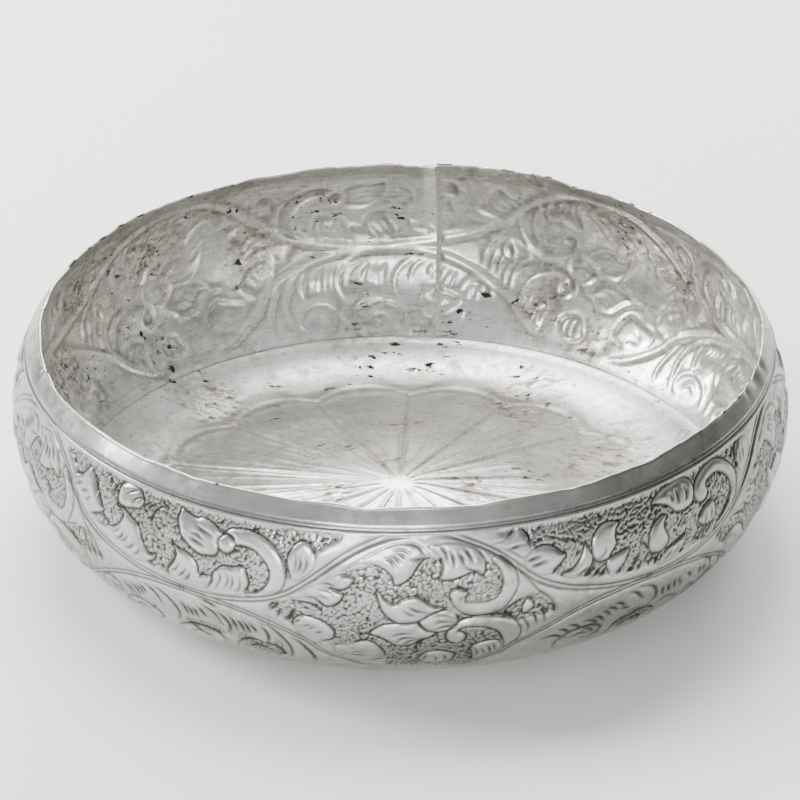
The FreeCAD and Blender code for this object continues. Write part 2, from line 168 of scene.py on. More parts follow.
MEDALLION = {
    "ground": (
        ((-52, 31), (-46, 27.5), (-36, 26), (-30, 18), (-24, 13), (-12, 11), (0, 9), (6, 10),
         (20, 12), (24, 18), (22, 25), (9, 25), (7, 30), (24, 31), (30, 27), (37, 26.5), (41, 31),
         (43, 35), (33, 36), (26, 39), (25, 50), (18, 57), (8, 63), (-6, 63), (-14, 60),
         (-14, 50), (-24, 44), (-30, 46), (-36, 44), (-44, 38)),),
    "leaf": (
        ((-28, 14), (-24, 11.8), (-20, 11), (-16.5, 11.7), (-13.5, 13.5), (-11.5, 16),
         (-10.8, 18.5), (-8, 17.8), (-5.5, 15.5), (-4, 12.8), (-1.5, 9.8), (0.5, 8.6), (-1, 6.5),
         (-3, 4.8), (-6, 4), (-12, 4.8), (-20, 8.7)),
        ((0.4, 5), (2.2, 6), (3.6, 8), (4.7, 11), (4.3, 14), (3.8, 16.3), (6, 17), (9, 16.7),
         (12, 15.5), (14, 14.7), (16, 15), (18, 15.7), (18.8, 13.5), (18.5, 10), (17, 7.8),
         (15, 6.2), (8, 4)),
        ((-16, 24.6), (-14.8, 28), (-12.5, 31.2), (-9, 33.4), (-4, 33), (0, 30.2), (4, 28),
         (7.3, 27.1), (3, 26.8), (0, 25), (-3, 23), (-6, 22.6), (-9, 23.6), (-11, 25.2),
         (-13.5, 23.6), (-16.8, 20)),
        ((-3, 33), (-1, 31.2), (2, 29.2), (6, 28), (8.5, 29), (9.8, 32), (9.3, 34.5), (7, 37),
         (3.5, 37.9), (0.5, 37.3), (-1.5, 35.5)),
        ((-19, 38.8), (-17, 36.3), (-14, 34.4), (-9, 33.8), (-4, 33.6), (-2.5, 35.5), (0, 37.8),
         (3, 38.6), (1, 40.8), (-2, 41.8), (-4.5, 44), (-7, 45.2), (-10, 44.8), (-13, 43),
         (-15.5, 40.7)),
        ((-31, 46), (-26, 44.8), (-22, 43), (-19, 42.8), (-16.5, 45), (-14.6, 49), (-14.5, 52),
         (-18, 54), (-24, 55), (-28, 53), (-31, 50)),
        ((-44.5, 36.5), (-42, 33), (-39, 32.6), (-35, 34), (-32.3, 36.3), (-30.5, 39.5),
         (-31.5, 42.5), (-34, 44), (-37, 45.5), (-40, 44.5), (-42.5, 41)),
        ((-34, 18.5), (-31.5, 16.6), (-28, 15.6), (-25, 15.7), (-23.4, 16.8), (-24.5, 18.7),
         (-26, 20.1), (-28.5, 21), (-31, 20.6)),
        ((-45, 25), (-40, 21.4), (-36, 19.4), (-31, 21), (-28.5, 21.6), (-27.2, 22.5),
         (-28, 24.5), (-30, 26.6), (-33, 27.6), (-36, 25.5), (-40, 25)),
        ((31, 33), (31.3, 29.5), (33, 27.3), (34.5, 29), (34.8, 31.5), (32.5, 33.3)),
        ((15, 48.5), (17, 46), (21, 45), (24.5, 45.5), (26, 49), (24.5, 53), (20, 56),
         (17, 58), (16, 53)),
        ((-1, 50), (3, 48.4), (7, 49.6), (9.6, 52), (8.5, 56), (4, 58.5), (-1, 57.5),
         (-3, 54.5))),
    "ribbon": (
        ((25, 11), (28, 14.5), (29.3, 19), (28.8, 23), (26.5, 27.3), (24, 30), (20.5, 31.6),
         (16, 31.8), (13.5, 31.3), (10.5, 29.5), (8, 26.5), (6.8, 23), (7.5, 21), (9.5, 20.2),
         (11.5, 20.6), (12.7, 22.5), (12, 25), (15, 25.8), (19, 25.9), (22.3, 25), (23.8, 22),
         (24.3, 18), (23, 14.5), (20.8, 11.5), (22, 10)),
        ((8.5, 44.3), (6.6, 42.5), (6.2, 39.5), (7.5, 36.5), (10, 34), (13, 32.6), (17, 32.1),
         (21, 32.3), (25, 33.2), (28.3, 35.2), (30.5, 38), (31.5, 41), (31.3, 45), (29, 48),
         (26.4, 50), (26.3, 46.5), (25, 43), (23, 40), (19.5, 37.8), (15.5, 36.9), (12, 37),
         (10.4, 38.2), (12.2, 39.5), (13, 41.5), (12, 43.6), (10.3, 44.6))),
    "cut": (
        ((-11, 6.2), (-8, 6.4), (-5.5, 7.6)), ((-10.5, 7.4), (-8.5, 7.8), (-7.2, 9)),
        ((-12, 8.2), (-10, 8.9), (-8.6, 10.6)), ((-14, 9), (-11.7, 10), (-10.3, 12.4)),
        ((-8.5, 4.2), (-4.5, 4.5), (-2, 6), (-0.3, 9)), ((0, 9.1), (-3, 9.7), (-6, 9.9)),
        ((4.8, 5.8), (6, 8), (6.3, 12)), ((7.6, 7.3), (8.6, 9.5), (8.9, 12.3)),
        ((10.2, 7.8), (11.1, 9.6), (12, 12)), ((12.3, 7), (13.6, 8.6), (14.8, 11.2)),
        ((12, 12.4), (14, 14), (17.7, 15)), ((15.4, 6.5), (17.6, 9), (18.6, 12), (18.2, 16)),
        ((10.4, 23.8), (10.7, 24.6)), ((28.6, 14), (31, 16.8), (34, 21), (36.5, 24.8), (40, 28),
                                      (42.3, 32), (43.3, 36)),
        ((30.5, 34.8), (32.8, 37.2), (34, 40), (33.7, 42.6)), ((35, 33), (36, 35.6), (36.8, 39)),
        ((37.7, 31.8), (38.8, 34.5), (39.6, 38.6)), ((40.9, 30), (42.2, 33), (42.6, 36.4)),
        ((24.8, 31.6), (27, 33.5), (29.5, 34.9)), ((25, 31), (26, 29.6), (28.5, 28.3), (31, 27.2)),
        ((-6.3, 26.3), (-4, 28), (-0.5, 28.8)), ((-8.3, 27.5), (-6, 29.2), (-4.3, 29.9)),
        ((2, 34.5), (4, 33.3), (7, 33.4)), ((3, 36.1), (5.5, 35.4), (8, 35)),
        ((1.5, 31), (4.5, 30.2), (8.6, 31.8)), ((-11.5, 39.5), (-9, 38.2), (-5, 38)),
        ((-9.8, 41.6), (-7.5, 39.9), (-4, 39.6)), ((-7.5, 43.2), (-5.5, 41.4), (-2, 40.5)),
        ((-23, 38.7), (-20, 38.7), (-16, 39.8), (-13, 42), (-10.5, 44.8)),
        ((-25.5, 49.6), (-24, 48.8), (-22, 48)), ((-19.5, 55), (-17, 53.8), (-14, 53.7)),
        ((-27, 51.8), (-24, 51), (-20.5, 50.9)), ((-44.2, 36.4), (-42.6, 35.3), (-41.4, 34.4)),
        ((-41.2, 37.2), (-39.8, 36.4), (-39, 35.8)), ((-40, 38.6), (-38.2, 37.8), (-37.2, 36.8)),
        ((-37.3, 39.4), (-36, 39.2), (-34.8, 38.4)), ((-34.5, 19), (-31.5, 19.1), (-29.4, 20)),
        ((-35.5, 21.3), (-32.5, 21.7), (-30.7, 22.7)), ((-35.5, 23.4), (-33.6, 23.8), (-32.2, 24.6)),
        ((-40, 24.6), (-36.5, 24.7), (-34.3, 26.2)), ((-46, 26.3), (-42, 26.5), (-38, 27.2),
                                                     (-35.5, 28.7), (-34.4, 30)),
        ((-52.5, 31.6), (-51, 29.3), (-48.8, 27.8)), ((-49, 28), (-49.8, 30.4), (-52, 32.2)),
        ((-47.5, 36), (-45.3, 34.8), (-44.2, 32.5)), ((-50, 35.4), (-49.2, 33.6), (-48.8, 31.4)),
        ((1.5, 40.6), (-1.2, 41.5), (-3.2, 43.6), (-4.3, 47)),
        ((-0.4, 50), (-0.6, 52.2), (-2, 55), (-5, 57.4)),
        ((15.8, 47.4), (17.5, 50), (18, 53), (17.2, 56.4)), ((18.4, 48.4), (19.8, 51), (20.5, 54.4)),
        ((20.6, 47), (21.8, 50), (22.5, 53.8)), ((22.5, 46), (23.6, 48.5), (24.5, 52)),
        ((2.5, 51), (3.5, 53.4), (3, 56)), ((5.4, 51), (6.4, 53.2), (6, 55.4))),
}

LEFT_LUNETTE = {
    "ground": (
        ((-60, 3), (-50, 1.6), (-20, 1.4), (0, 1.6), (30, 1.6), (50, 2), (53, 3.4), (45, 9),
         (43, 12), (34, 21), (28, 26), (14, 27.5), (0, 27.5), (-10, 28), (-16, 27), (-24, 20),
         (-40, 20), (-46, 14), (-52, 9.5)),),
    "leaf": (
        ((-54, 10.2), (-50, 8), (-47.6, 5.2), (-46.3, 3.8), (-44, 5.3), (-42, 7), (-40.7, 9),
         (-39.5, 11), (-37.5, 13.5), (-36.2, 15.5), (-38.5, 17.3), (-41.5, 18.7), (-44, 19.4),
         (-47, 18.8), (-51, 15)),
        ((-31, 10.2), (-27, 11.6), (-23, 13), (-20.5, 14.2), (-19.3, 16.5), (-18.4, 19.4),
         (-16.6, 22), (-14.4, 23), (-12.4, 22), (-13, 24), (-15, 25.9), (-19, 27), (-26, 27),
         (-34, 24.4), (-42, 20.8), (-37, 20.3), (-33, 19.6), (-30, 18), (-28, 15.5),
         (-27.4, 13)),
        ((-30, 9.8), (-30.6, 6), (-29, 3), (-25, 2.4), (-21.5, 3), (-19.2, 6), (-20, 8.8),
         (-23, 9.9), (-27, 10.8)),
        ((-4.3, 4.8), (-4.6, 7), (-3.8, 10), (-2.5, 12.4), (-0.5, 14), (2, 15.7), (5, 16.7),
         (8, 16.3), (10.8, 15.5), (11.6, 13.4), (11.2, 10), (12.6, 8.2), (10.5, 5.8), (8, 4.6),
         (5, 4.1), (2, 4.6), (-1.5, 3.9), (-3.8, 2.7)),
        ((11.1, 11), (12, 8.9), (14.3, 7.8), (16.5, 8.9), (17.5, 11), (16.5, 13.2), (14.3, 14.2),
         (12, 13.2)),
        ((-6, 15), (-3.5, 16.8), (0, 17.4), (2.7, 19.2), (4.2, 21.6), (5, 24.4), (8, 23.6),
         (9.4, 25), (7, 28.8), (0, 29.6), (-5, 29), (-7.6, 26.6), (-5.4, 23.4), (-4.2, 20),
         (-4.6, 17.4)),
        ((11.5, 20.4), (14, 18.7), (17.5, 18.2), (20.6, 17.4), (22, 19.5), (22.8, 23),
         (21.8, 26), (19.5, 28.3), (13, 30), (7.6, 29.2), (9.2, 26), (10, 22.6)),
        ((35.4, 12.6), (36, 9.5), (38, 6.8), (40.6, 5.2), (42.6, 5.8), (44.3, 8), (45, 11),
         (44.6, 14), (41.6, 17.4), (38.4, 19.4), (36.4, 17))),
    "ribbon": (
        ((12.7, 7.8), (15, 6), (18, 5), (22, 4.8), (26, 5.6), (30, 7.6), (33, 10.4), (35, 14),
         (35.6, 18), (35, 21.5), (33.4, 24.4), (29, 27), (23.5, 28.4), (21.5, 27.4), (25, 26.3),
         (27.5, 24.5), (29.3, 22), (30, 19), (29, 15.8), (26.5, 12.8), (23.5, 11), (20, 10.4),
         (17.6, 10.8), (16.6, 8.6), (14.4, 7.6)),),
    "cut": (
        ((-48.6, 13.5), (-46.5, 12.3), (-44.3, 11.3)), ((-45.6, 15.1), (-44, 14.2), (-42.7, 13)),
        ((-52, 12.4), (-50, 11.4), (-47.5, 9.6)), ((-31.2, 21.2), (-28.7, 19.6), (-27, 17.5)),
        ((-27, 23), (-25, 21.6), (-23.7, 19.4)), ((-25, 24.6), (-22.7, 23.3), (-21.4, 21.7)),
        ((-22, 25.6), (-20, 24.6), (-18.4, 22)), ((-29.3, 22.6), (-27.3, 21), (-25.6, 18.6)),
        ((-26.7, 5.6), (-24.6, 4.4), (-22.2, 3.3)), ((-23.2, 7.3), (-22, 6), (-19.4, 4.6)),
        ((-19.6, 7.5), (-18, 6.5), (-15.8, 5)), ((-17.2, 8.4), (-15.6, 6.6), (-13.8, 5.5)),
        ((-32.6, 8), (-32.1, 5.4), (-31, 3.6)), ((-14.9, 11.4), (-14.3, 8.5), (-12.5, 6.2),
                                                  (-9.3, 5.1)),
        ((3.3, 7.2), (5.4, 8.3), (9.3, 9.1)), ((2, 9.9), (4, 10.3), (6.2, 11.1)),
        ((0.8, 12), (3, 12.6), (6.8, 13.4)), ((-5.5, 15.6), (-4.3, 18), (-4.5, 21), (-6.4, 24),
                                               (-8.2, 26)),
        ((-2.6, 22.6), (-4, 25), (-6, 26.6)), ((0.4, 23.6), (-1.4, 26), (-3.2, 27.6)),
        ((1.9, 24), (0.9, 26.2), (-1, 28.2)), ((10, 23.4), (9.4, 26), (7.4, 29.2)),
        ((12.8, 21), (12.9, 23.5), (11, 28.4)), ((15.2, 21), (15.6, 23.7), (13.9, 27.6)),
        ((17.1, 21.4), (17.3, 24), (16, 27.4)), ((20, 21.6), (20, 25), (18.4, 28.2)),
        ((38.3, 9.6), (38.8, 12.5), (38.2, 15.6)), ((42, 10.4), (42.2, 13), (40.4, 16.8)),
        ((40.1, 10.6), (40.6, 13.5), (39.5, 16.2)), ((37.5, 30.8), (36.6, 33.4), (34.4, 35.6))),
    "low_cut": (
        ((-30.2, 41), (-28.6, 43.5), (-27.7, 46.8)), ((-28.2, 40.4), (-26.5, 43), (-25.3, 46.3)),
        ((-25.8, 39.8), (-24, 42.2), (-23.2, 45)), ((-23.6, 39.2), (-22, 41), (-21.1, 43.4)),
        ((-21.6, 38.6), (-20.4, 40.1), (-19.6, 41.8)), ((-18.6, 37), (-16, 38.5), (-14, 41),
                                                        (-13.2, 44.4)),
        ((-14.5, 36.4), (-11.5, 37.5), (-8.8, 39.8), (-7, 43), (-6.8, 47), (-9.4, 51.6)),
        ((-17.4, 46.4), (-19, 49), (-21.6, 50.8)), ((-4, 38.8), (-3, 41.5), (-2.5, 44.6)),
        ((-2, 39.5), (-0.8, 42), (-0.7, 44.7)), ((0.2, 39.4), (1.2, 41.5), (1.6, 43.9)),
        ((2.5, 38.7), (4, 41), (5, 43.2)), ((4.3, 36.8), (7, 38.5), (9.3, 40.8), (10.9, 44.8)),
        ((9.5, 38), (12, 40), (13.6, 43), (13.5, 46), (11.9, 49.6)),
        ((14.6, 39.3), (15.8, 42), (16.3, 45.8)), ((17, 39.9), (18.2, 42.5), (18.8, 46.2)),
        ((19.4, 40.6), (20.3, 43), (20.8, 46.2)), ((21.7, 40.9), (23, 43), (23.6, 45.2)),
        ((26, 41), (27.3, 44), (27.4, 47), (26.2, 50.8)),
        ((25, 39), (28.5, 40), (31.5, 43), (34, 47.5), (34.7, 52), (33.8, 57), (32, 60.5)),
        ((36.5, 44.5), (39, 48), (41.3, 53), (42, 57), (41, 61)), ((4.3, 34.6), (7.5, 35.4),
                                                                  (10.4, 36.6)),
        ((-44, 47.5), (-42, 44), (-38, 42.3), (-34, 43.6), (-31.6, 47)),
        ((-40, 45.6), (-38.4, 47.4), (-38, 49.6)), ((-36.8, 45.4), (-35.4, 47.2), (-35, 49.4)),
        ((-33, 49.5), (-30, 53), (-25, 56)), ((-4, 51), (-1, 54), (3, 56.4))),
    "low_ground": (
        ((15, 47.6), (20, 47.6), (25, 51), (28.6, 49), (30.6, 46), (32.4, 50), (32.4, 55),
         (30, 60), (24, 62), (17, 58)),
        ((-5, 47.5), (2, 46.5), (9, 47), (10, 52), (3, 53), (-4, 52))),
}

RIGHT_LUNETTE = {
    "ground": (
        ((-58, 2.4), (-50, 1.2), (-30, 1.2), (0, 1.2), (20, 1.4), (42, 2), (47, 3), (42, 12),
         (38, 21), (28, 27), (14, 27.6), (2, 27.4), (-14, 26), (-22, 24.4), (-36, 20.6),
         (-40, 19), (-46, 8)),),
    "leaf": (
        ((-60, 6.7), (-56.5, 5.5), (-53.5, 3.2), (-51.6, 1.2), (-49.8, 2.5), (-48.3, 5),
         (-47.8, 8), (-48.3, 10.5), (-50, 12), (-54, 9.4)),
        ((-47, 9.7), (-44, 9), (-41.5, 9.3), (-39, 10.5), (-37, 12.5), (-35.6, 14), (-37, 16),
         (-39, 18), (-41.5, 19.2), (-45, 19), (-48, 16.6), (-50, 13.2)),
        ((-37.5, 20.5), (-33.5, 19.2), (-30.8, 16.8), (-29.3, 14), (-28.4, 11.2), (-27, 14.2),
         (-26, 17), (-26.5, 20), (-30, 22.8), (-33, 22.8)),
        ((-26, 15), (-25.7, 11.5), (-24.3, 9), (-22, 7.4), (-19.5, 6.8), (-17, 7.2), (-14.8, 8),
         (-16.2, 9.8), (-16.9, 12), (-16.8, 15), (-18.3, 17.3), (-20.3, 19.6), (-23.5, 20),
         (-25.3, 18.3)),
        ((-20.6, 19.8), (-18, 18.8), (-14.5, 18), (-12, 18), (-13, 21), (-14.5, 23.5),
         (-17, 25.5), (-19, 26.4), (-20.4, 24), (-21.2, 22)),
        ((-4, 22), (-3.8, 17), (-2.5, 13.8), (-0.5, 12), (2, 11.2), (4.3, 11.8), (3.2, 14.5),
         (3.5, 17.5), (4.6, 20.5), (3.5, 22.5), (1, 24), (-2, 23.5)),
        ((-0.5, 6), (2, 4), (5, 2.8), (9, 2.2), (14, 1.9), (17.5, 3.6), (19, 7), (18, 10.5),
         (16.5, 12.2), (12.5, 12.9), (9, 12.3), (7.5, 10.5), (5.5, 8.6), (2.5, 7.4)),
        ((18.8, 20.2), (20, 17.8), (22, 16), (24.5, 15), (26.5, 15.2), (28, 17), (28, 20),
         (26.5, 22.6), (22, 22.8)),
        ((0, 28.5), (2, 25.8), (5, 23.6), (9, 22.4), (12.9, 21.4), (12.6, 24.2), (11, 26.6),
         (8, 28.4), (4, 29)),
        ((43, 9), (43.3, 6), (45, 3.8), (48, 2.4), (51, 2.8), (52.5, 5), (52, 8), (49, 10.4),
         (46, 12.5), (43.5, 12))),
    "ribbon": (
        ((18.6, 12.2), (18, 9.6), (18.7, 7.2), (20.8, 5), (24, 3.4), (28, 2.4), (32, 2.6),
         (36, 4.4), (39.5, 7.6), (41.3, 11), (41, 15), (39.6, 19), (37, 22.4), (32, 25),
         (28, 26.6), (29, 24), (32.4, 21.6), (35.2, 19), (36.9, 16), (37.2, 13), (36, 10.4),
         (33.5, 8.2), (30.5, 7), (27, 7.2), (24.4, 8.4), (24.8, 11), (23.4, 13.2),
         (20.8, 13.8)),),
    "cut": (
        ((-54.5, 8.5), (-52.5, 8), (-50, 7.5)), ((-49, 13), (-47, 12.8), (-44.5, 12)),
        ((-48, 15.1), (-45.5, 14.8), (-42.3, 13.8)), ((-20.6, 14.3), (-21.5, 16.6), (-24, 19.2)),
        ((-32, 22.5), (-30, 21.6), (-28, 19.8)), ((-29.5, 23.3), (-27, 21.9), (-25, 20)),
        ((-27.4, 24.5), (-25, 23.2), (-22.5, 21)), ((-25, 25.4), (-22.5, 24), (-20.5, 22.2)),
        ((-15, 27), (-12, 26), (-9.5, 24.5), (-8, 22), (-7.3, 19.6)),
        ((-7.4, 17.4), (-5.5, 19.2), (-4.2, 21.6)), ((-6, 25.7), (-4.8, 23.7), (-3.8, 22.2)),
        ((-4.3, 26.9), (-3, 24.9), (-1.6, 23.2)), ((-2.2, 28.2), (-0.4, 26), (1.4, 23.8)),
        ((-9.4, 28), (-7.6, 26.4), (-6.4, 24.6)), ((10, 4.4), (10.4, 6.6), (10, 9)),
        ((13.4, 4.6), (14, 7), (13.4, 9.4)), ((6.6, 4.8), (7.2, 6.6), (7.2, 8.2)),
        ((16, 26.2), (17.5, 24.6), (19, 22.4)), ((18.5, 26.7), (20, 24.7), (21.4, 22.4)),
        ((21, 26.4), (22.5, 24.5), (23.9, 22.4)), ((23.5, 26), (25, 24.2), (26, 22.4)),
        ((22.6, 17.6), (22.4, 20), (21.6, 22)), ((25.2, 17), (25.2, 19.6), (24.4, 22)),
        ((45.6, 5.5), (45.2, 8.4), (44.8, 10.4)), ((48, 5), (47.8, 7.6), (47, 9.8)),
        ((6, 24.8), (4.6, 26.4), (2.6, 27.6)), ((9.4, 24), (8.4, 25.8), (6.2, 27.6)),
        ((7.5, 2.9), (9, 2.2), (10.5, 1.9))),
    "low_cut": (
        ((-41.5, 49), (-38, 48.4), (-35, 49.6), (-31, 52.4)), ((-27, 43.3), (-24, 44.2),
                                                             (-21.5, 46), (-20.2, 48.4)),
        ((-23, 43), (-20.5, 44), (-18.3, 46.7)), ((-19.8, 41.4), (-17.5, 42.5), (-15.5, 45.2)),
        ((-18, 40.6), (-15.5, 41.5), (-13, 43.7)), ((-15.6, 38.9), (-13, 40), (-10.6, 42.4)),
        ((-12.2, 42.8), (-9.6, 43.6), (-7.8, 44.2)), ((-26.4, 47.8), (-23, 49.5), (-21, 52),
                                                     (-19.4, 55)),
        ((-10, 36.7), (-7, 38), (-5, 40), (-3, 42.2)),
        ((-5.8, 35.4), (-2, 36.5), (0.5, 38), (2.5, 41), (3.5, 44), (2.5, 46), (0, 48.6)),
        ((5, 40.3), (6, 43), (7.1, 45.4)), ((7.8, 40.6), (9, 43), (9.9, 45.4)),
        ((10.4, 39.8), (11.5, 42.5), (12.6, 44.9)), ((12.9, 40.2), (14.5, 43), (16, 45.3)),
        ((16.8, 39.3), (18.8, 41), (20.5, 43.3)), ((22, 36.4), (26, 38), (29.5, 40.6), (31, 44)),
        ((24, 41), (25.4, 43.2), (26, 45.6)), ((26.8, 41.2), (28, 43.4), (28.4, 45.6)),
        ((32.4, 38.6), (36, 41.4), (38.6, 46), (39, 51), (37, 56)),
        ((-36, 45), (-33, 46.4), (-31, 49)), ((-32, 43.6), (-29, 45.2), (-27, 47.8)),
        ((6, 50), (11, 49), (15.6, 51), (18, 55)), ((20, 48), (24, 49), (27, 52.4))),
    "low_ground": (
        ((-8, 46), (-2, 46.6), (2, 49), (6, 52), (2, 57), (-6, 58), (-12, 54)),
        ((30, 46), (34.4, 46), (36.6, 50), (34, 56), (26, 60), (20, 57), (27, 53))),
}


# The scroll in the lower lunette, which is the same in each.
LOWER_SCROLL = (
    ((-34, 60), (-35, 54), (-31, 48.5), (-24, 47), (-18.5, 50), (-18, 54.5), (-21.5, 57), (-25, 55)),
    ((-12, 61), (-10.5, 55), (-4.5, 51), (3, 50.5), (8, 54), (7.5, 59)),
    ((12, 59), (15.5, 53), (22.5, 50.5), (29, 53), (30.5, 58), (26.5, 61)),
    ((-29.5, 53), (-26, 51), (-22.8, 52.5)), ((-6, 57.5), (-2.5, 55), (2, 56), (2.5, 59.5)),
    ((18.5, 57), (22, 54.8), (25.5, 56.5)))

# The lunette to the right of each medallion, from the front one on round the bowl.
LUNETTES = (RIGHT_LUNETTE, LEFT_LUNETTE, LEFT_LUNETTE, RIGHT_LUNETTE, LEFT_LUNETTE)


# ------------------------------------------------------------------------- small number tools

def smooth_curve(points, closed=False, per_span=6):
    """Catmull-Rom curve: between points p1 and p2 it is the cubic that leaves p1 along p2 - p0
    and reaches p2 along p3 - p1, each at half length."""
    pts = np.asarray(points, float)
    if closed:
        ring = np.vstack([pts[-1:], pts, pts[:2]])
    else:
        ring = np.vstack([2 * pts[:1] - pts[1:2], pts, 2 * pts[-1:] - pts[-2:-1]])
    p0, p1, p2, p3 = ring[:-3], ring[1:-2], ring[2:-1], ring[3:]
    step = (np.arange(per_span) / per_span)[None, :, None]
    p0, p1, p2, p3 = (p[:, None, :] for p in (p0, p1, p2, p3))
    curve = 0.5 * (2 * p1 + (p2 - p0) * step + (2 * p0 - 5 * p1 + 4 * p2 - p3) * step ** 2
                   + (3 * p1 - p0 - 3 * p2 + p3) * step ** 3).reshape(-1, 2)
    return curve if closed else np.vstack([curve, pts[-1:]])


def blur(field, across, down):
    """Gaussian blur of a field, by multiplying its Fourier transform with a Gaussian. The two
    widths are standard deviations in cells. Rows are mirrored so that edges don't wrap."""
    tall = np.vstack([field, field[::-1]])
    wave_rows = np.fft.fftfreq(tall.shape[0])[:, None]
    wave_columns = np.fft.rfftfreq(tall.shape[1])[None, :]
    gauss = np.exp(-2 * np.pi ** 2 * ((wave_rows * down) ** 2 + (wave_columns * across) ** 2))
    return np.fft.irfft2(np.fft.rfft2(tall) * gauss, s=tall.shape)[:field.shape[0]]


def band_noise(shape, cells, seed, width=0.35):
    """Seeded noise of one grain size: white noise whose Fourier transform is kept in a ring about
    one wave length, given in cells (down, across). It is scaled to a standard deviation of 1."""
    white = np.random.default_rng(seed).standard_normal(shape)
    wave = np.hypot(np.fft.fftfreq(shape[0])[:, None] * cells[0],
                    np.fft.rfftfreq(shape[1])[None, :] * cells[1])
    field = np.fft.irfft2(np.fft.rfft2(white) * np.exp(-((wave - 1) / width) ** 2), s=shape)
    return field / field.std()


def ramp(value, start, end):
    """Rises smoothly from 0 at start to 1 at end: 3 t^2 - 2 t^3."""
    part = np.clip((value - start) / (end - start), 0, 1)
    return part * part * (3 - 2 * part)


def keep_most(layer, values):
    """Puts values into a part of a layer wherever they are over what is there."""
    np.maximum(layer, values, out=layer)


# --------------------------------------------------------------------------- chased strip

class Strip:
    """The chased outside of the wall, unrolled on a grid, with a layer for each kind of mark.

    turns are the columns in degrees from the strip's inner end, and downs are the rows in mm
    down from the collar line. girth is each row's length round the bowl as a share of the
    belly's, because a motif narrows towards the rim and the foot.
    """

    def __init__(self, turns, downs):
        self.turns = turns
        self.downs = downs
        self.x = np.radians(turns) * BELLY
        self.girth = (BOW_CENTRE[0] + BOW * np.cos(TOP_ANGLE - downs / BOW)) / BELLY
        shape = (len(downs), len(turns))
        self.field = np.zeros(shape)
        self.leaf = np.zeros(shape)
        self.is_leaf = np.zeros(shape, bool)
        self.outline = np.zeros(shape)
        self.line = np.zeros(shape)
        self.border = np.full(shape, 99.0)

    def window(self, curve, margin):
        """The rows and columns within a margin of a curve, or None where it misses the grid."""
        low, high = curve.min(0) - margin, curve.max(0) + margin
        columns = slice(*np.searchsorted(self.x, (low[0], high[0])))
        rows = slice(*np.searchsorted(self.downs, (low[1], high[1])))
        return (rows, columns) if self.x[columns].size and self.downs[rows].size else None

    def distance(self, curve, window):
        """Distance from each place of a window to a curve of straight spans, and how far along
        the curve, from 0 to 1, its nearest point is."""
        rows, columns = window
        x = self.x[columns][None, :]
        v = self.downs[rows][:, None]
        girth = self.girth[rows][:, None]
        best = np.full((v.shape[0], x.shape[1]), 1e9)
        along = np.zeros_like(best)
        spans = len(curve) - 1
        for index in range(spans):
            (ax, av), (bx, bv) = curve[index], curve[index + 1]
            dx, dv = (bx - ax) * girth, bv - av
            px, pv = (x - ax) * girth, v - av
            part = np.clip((px * dx + pv * dv) / (dx * dx + dv * dv + 1e-9), 0, 1)
            gap = (px - part * dx) ** 2 + (pv - part * dv) ** 2
            nearer = gap < best
            best = np.where(nearer, gap, best)
            along = np.where(nearer, (index + part) / spans, along)
        return np.sqrt(best), along

    def inside(self, curve, window):
        """Whether each place of a window is inside a closed curve, by counting the sides that a
        line to the right crosses."""
        rows, columns = window
        x = self.x[columns][None, :]
        v = self.downs[rows][:, None]
        crossed = np.zeros((v.shape[0], x.shape[1]), bool)
        for (ax, av), (bx, bv) in zip(curve, np.roll(curve, -1, axis=0)):
            if av != bv:
                crossed ^= ((av > v) != (bv > v)) & (x < (bx - ax) * (v - av) / (bv - av) + ax)
        return crossed

    def sink(self, points):
        """Marks a closed area as a sunk field. What isn't leaf in it is ground."""
        curve = smooth_curve(points, closed=True, per_span=4)
        window = self.window(curve, 1.0)
        if window:
            keep_most(self.field[window], self.inside(curve, window))

    def puff_up(self, points, rise, shoulder, edge):
        """Raises a closed outline: from its edge the height goes up like a quarter of a sine
        over the shoulder's width. Its outline is a Gaussian groove, chased to the depth edge,
        and deeper where it stands in a sunk field."""
        curve = smooth_curve(points, closed=True)
        window = self.window(curve, 2.0)
        if window:
            inside = self.inside(curve, window)
            gap, _ = self.distance(np.vstack([curve, curve[:1]]), window)
            groove = np.exp(-(gap / OUTLINE_WIDTH) ** 2)
            keep_most(self.leaf[window],
                      np.sin(np.clip(gap / shoulder, 0, 1) * np.pi / 2) * rise * inside)
            self.is_leaf[window] |= inside
            keep_most(self.outline[window], groove)
            keep_most(self.line[window], edge * groove)

    def cut(self, points, depth, width):
        """A chased line, deepest in its middle: a Gaussian groove across, a half sine along."""
        curve = smooth_curve(points)
        window = self.window(curve, 2.5 * width)
        if window:
            gap, along = self.distance(curve, window)
            groove = depth * np.exp(-(gap / width) ** 2) * np.sin(np.pi * (0.12 + 0.76 * along))
            keep_most(self.line[window], groove)

    def run_border(self, points):
        """A border line: two thin cuts with a narrow land between them. The frames and fields
        rise from it on either side."""
        curve = smooth_curve(points)
        window = self.window(curve, 9.0)
        if window:
            gap, _ = self.distance(curve, window)
            self.border[window] = np.minimum(self.border[window], gap)
            keep_most(self.line[window], np.exp(-((gap - TWIN_LINE[0]) / TWIN_LINE[1]) ** 2))


def shifted(points, x, wander, rng):
    """A drawn outline at a place on the strip, with the small differences of handwork."""
    moved = np.asarray(points, float) + (x, 0.0)
    return moved + rng.normal(0, wander, (1, 2)) + rng.normal(0, wander * 0.4, moved.shape)


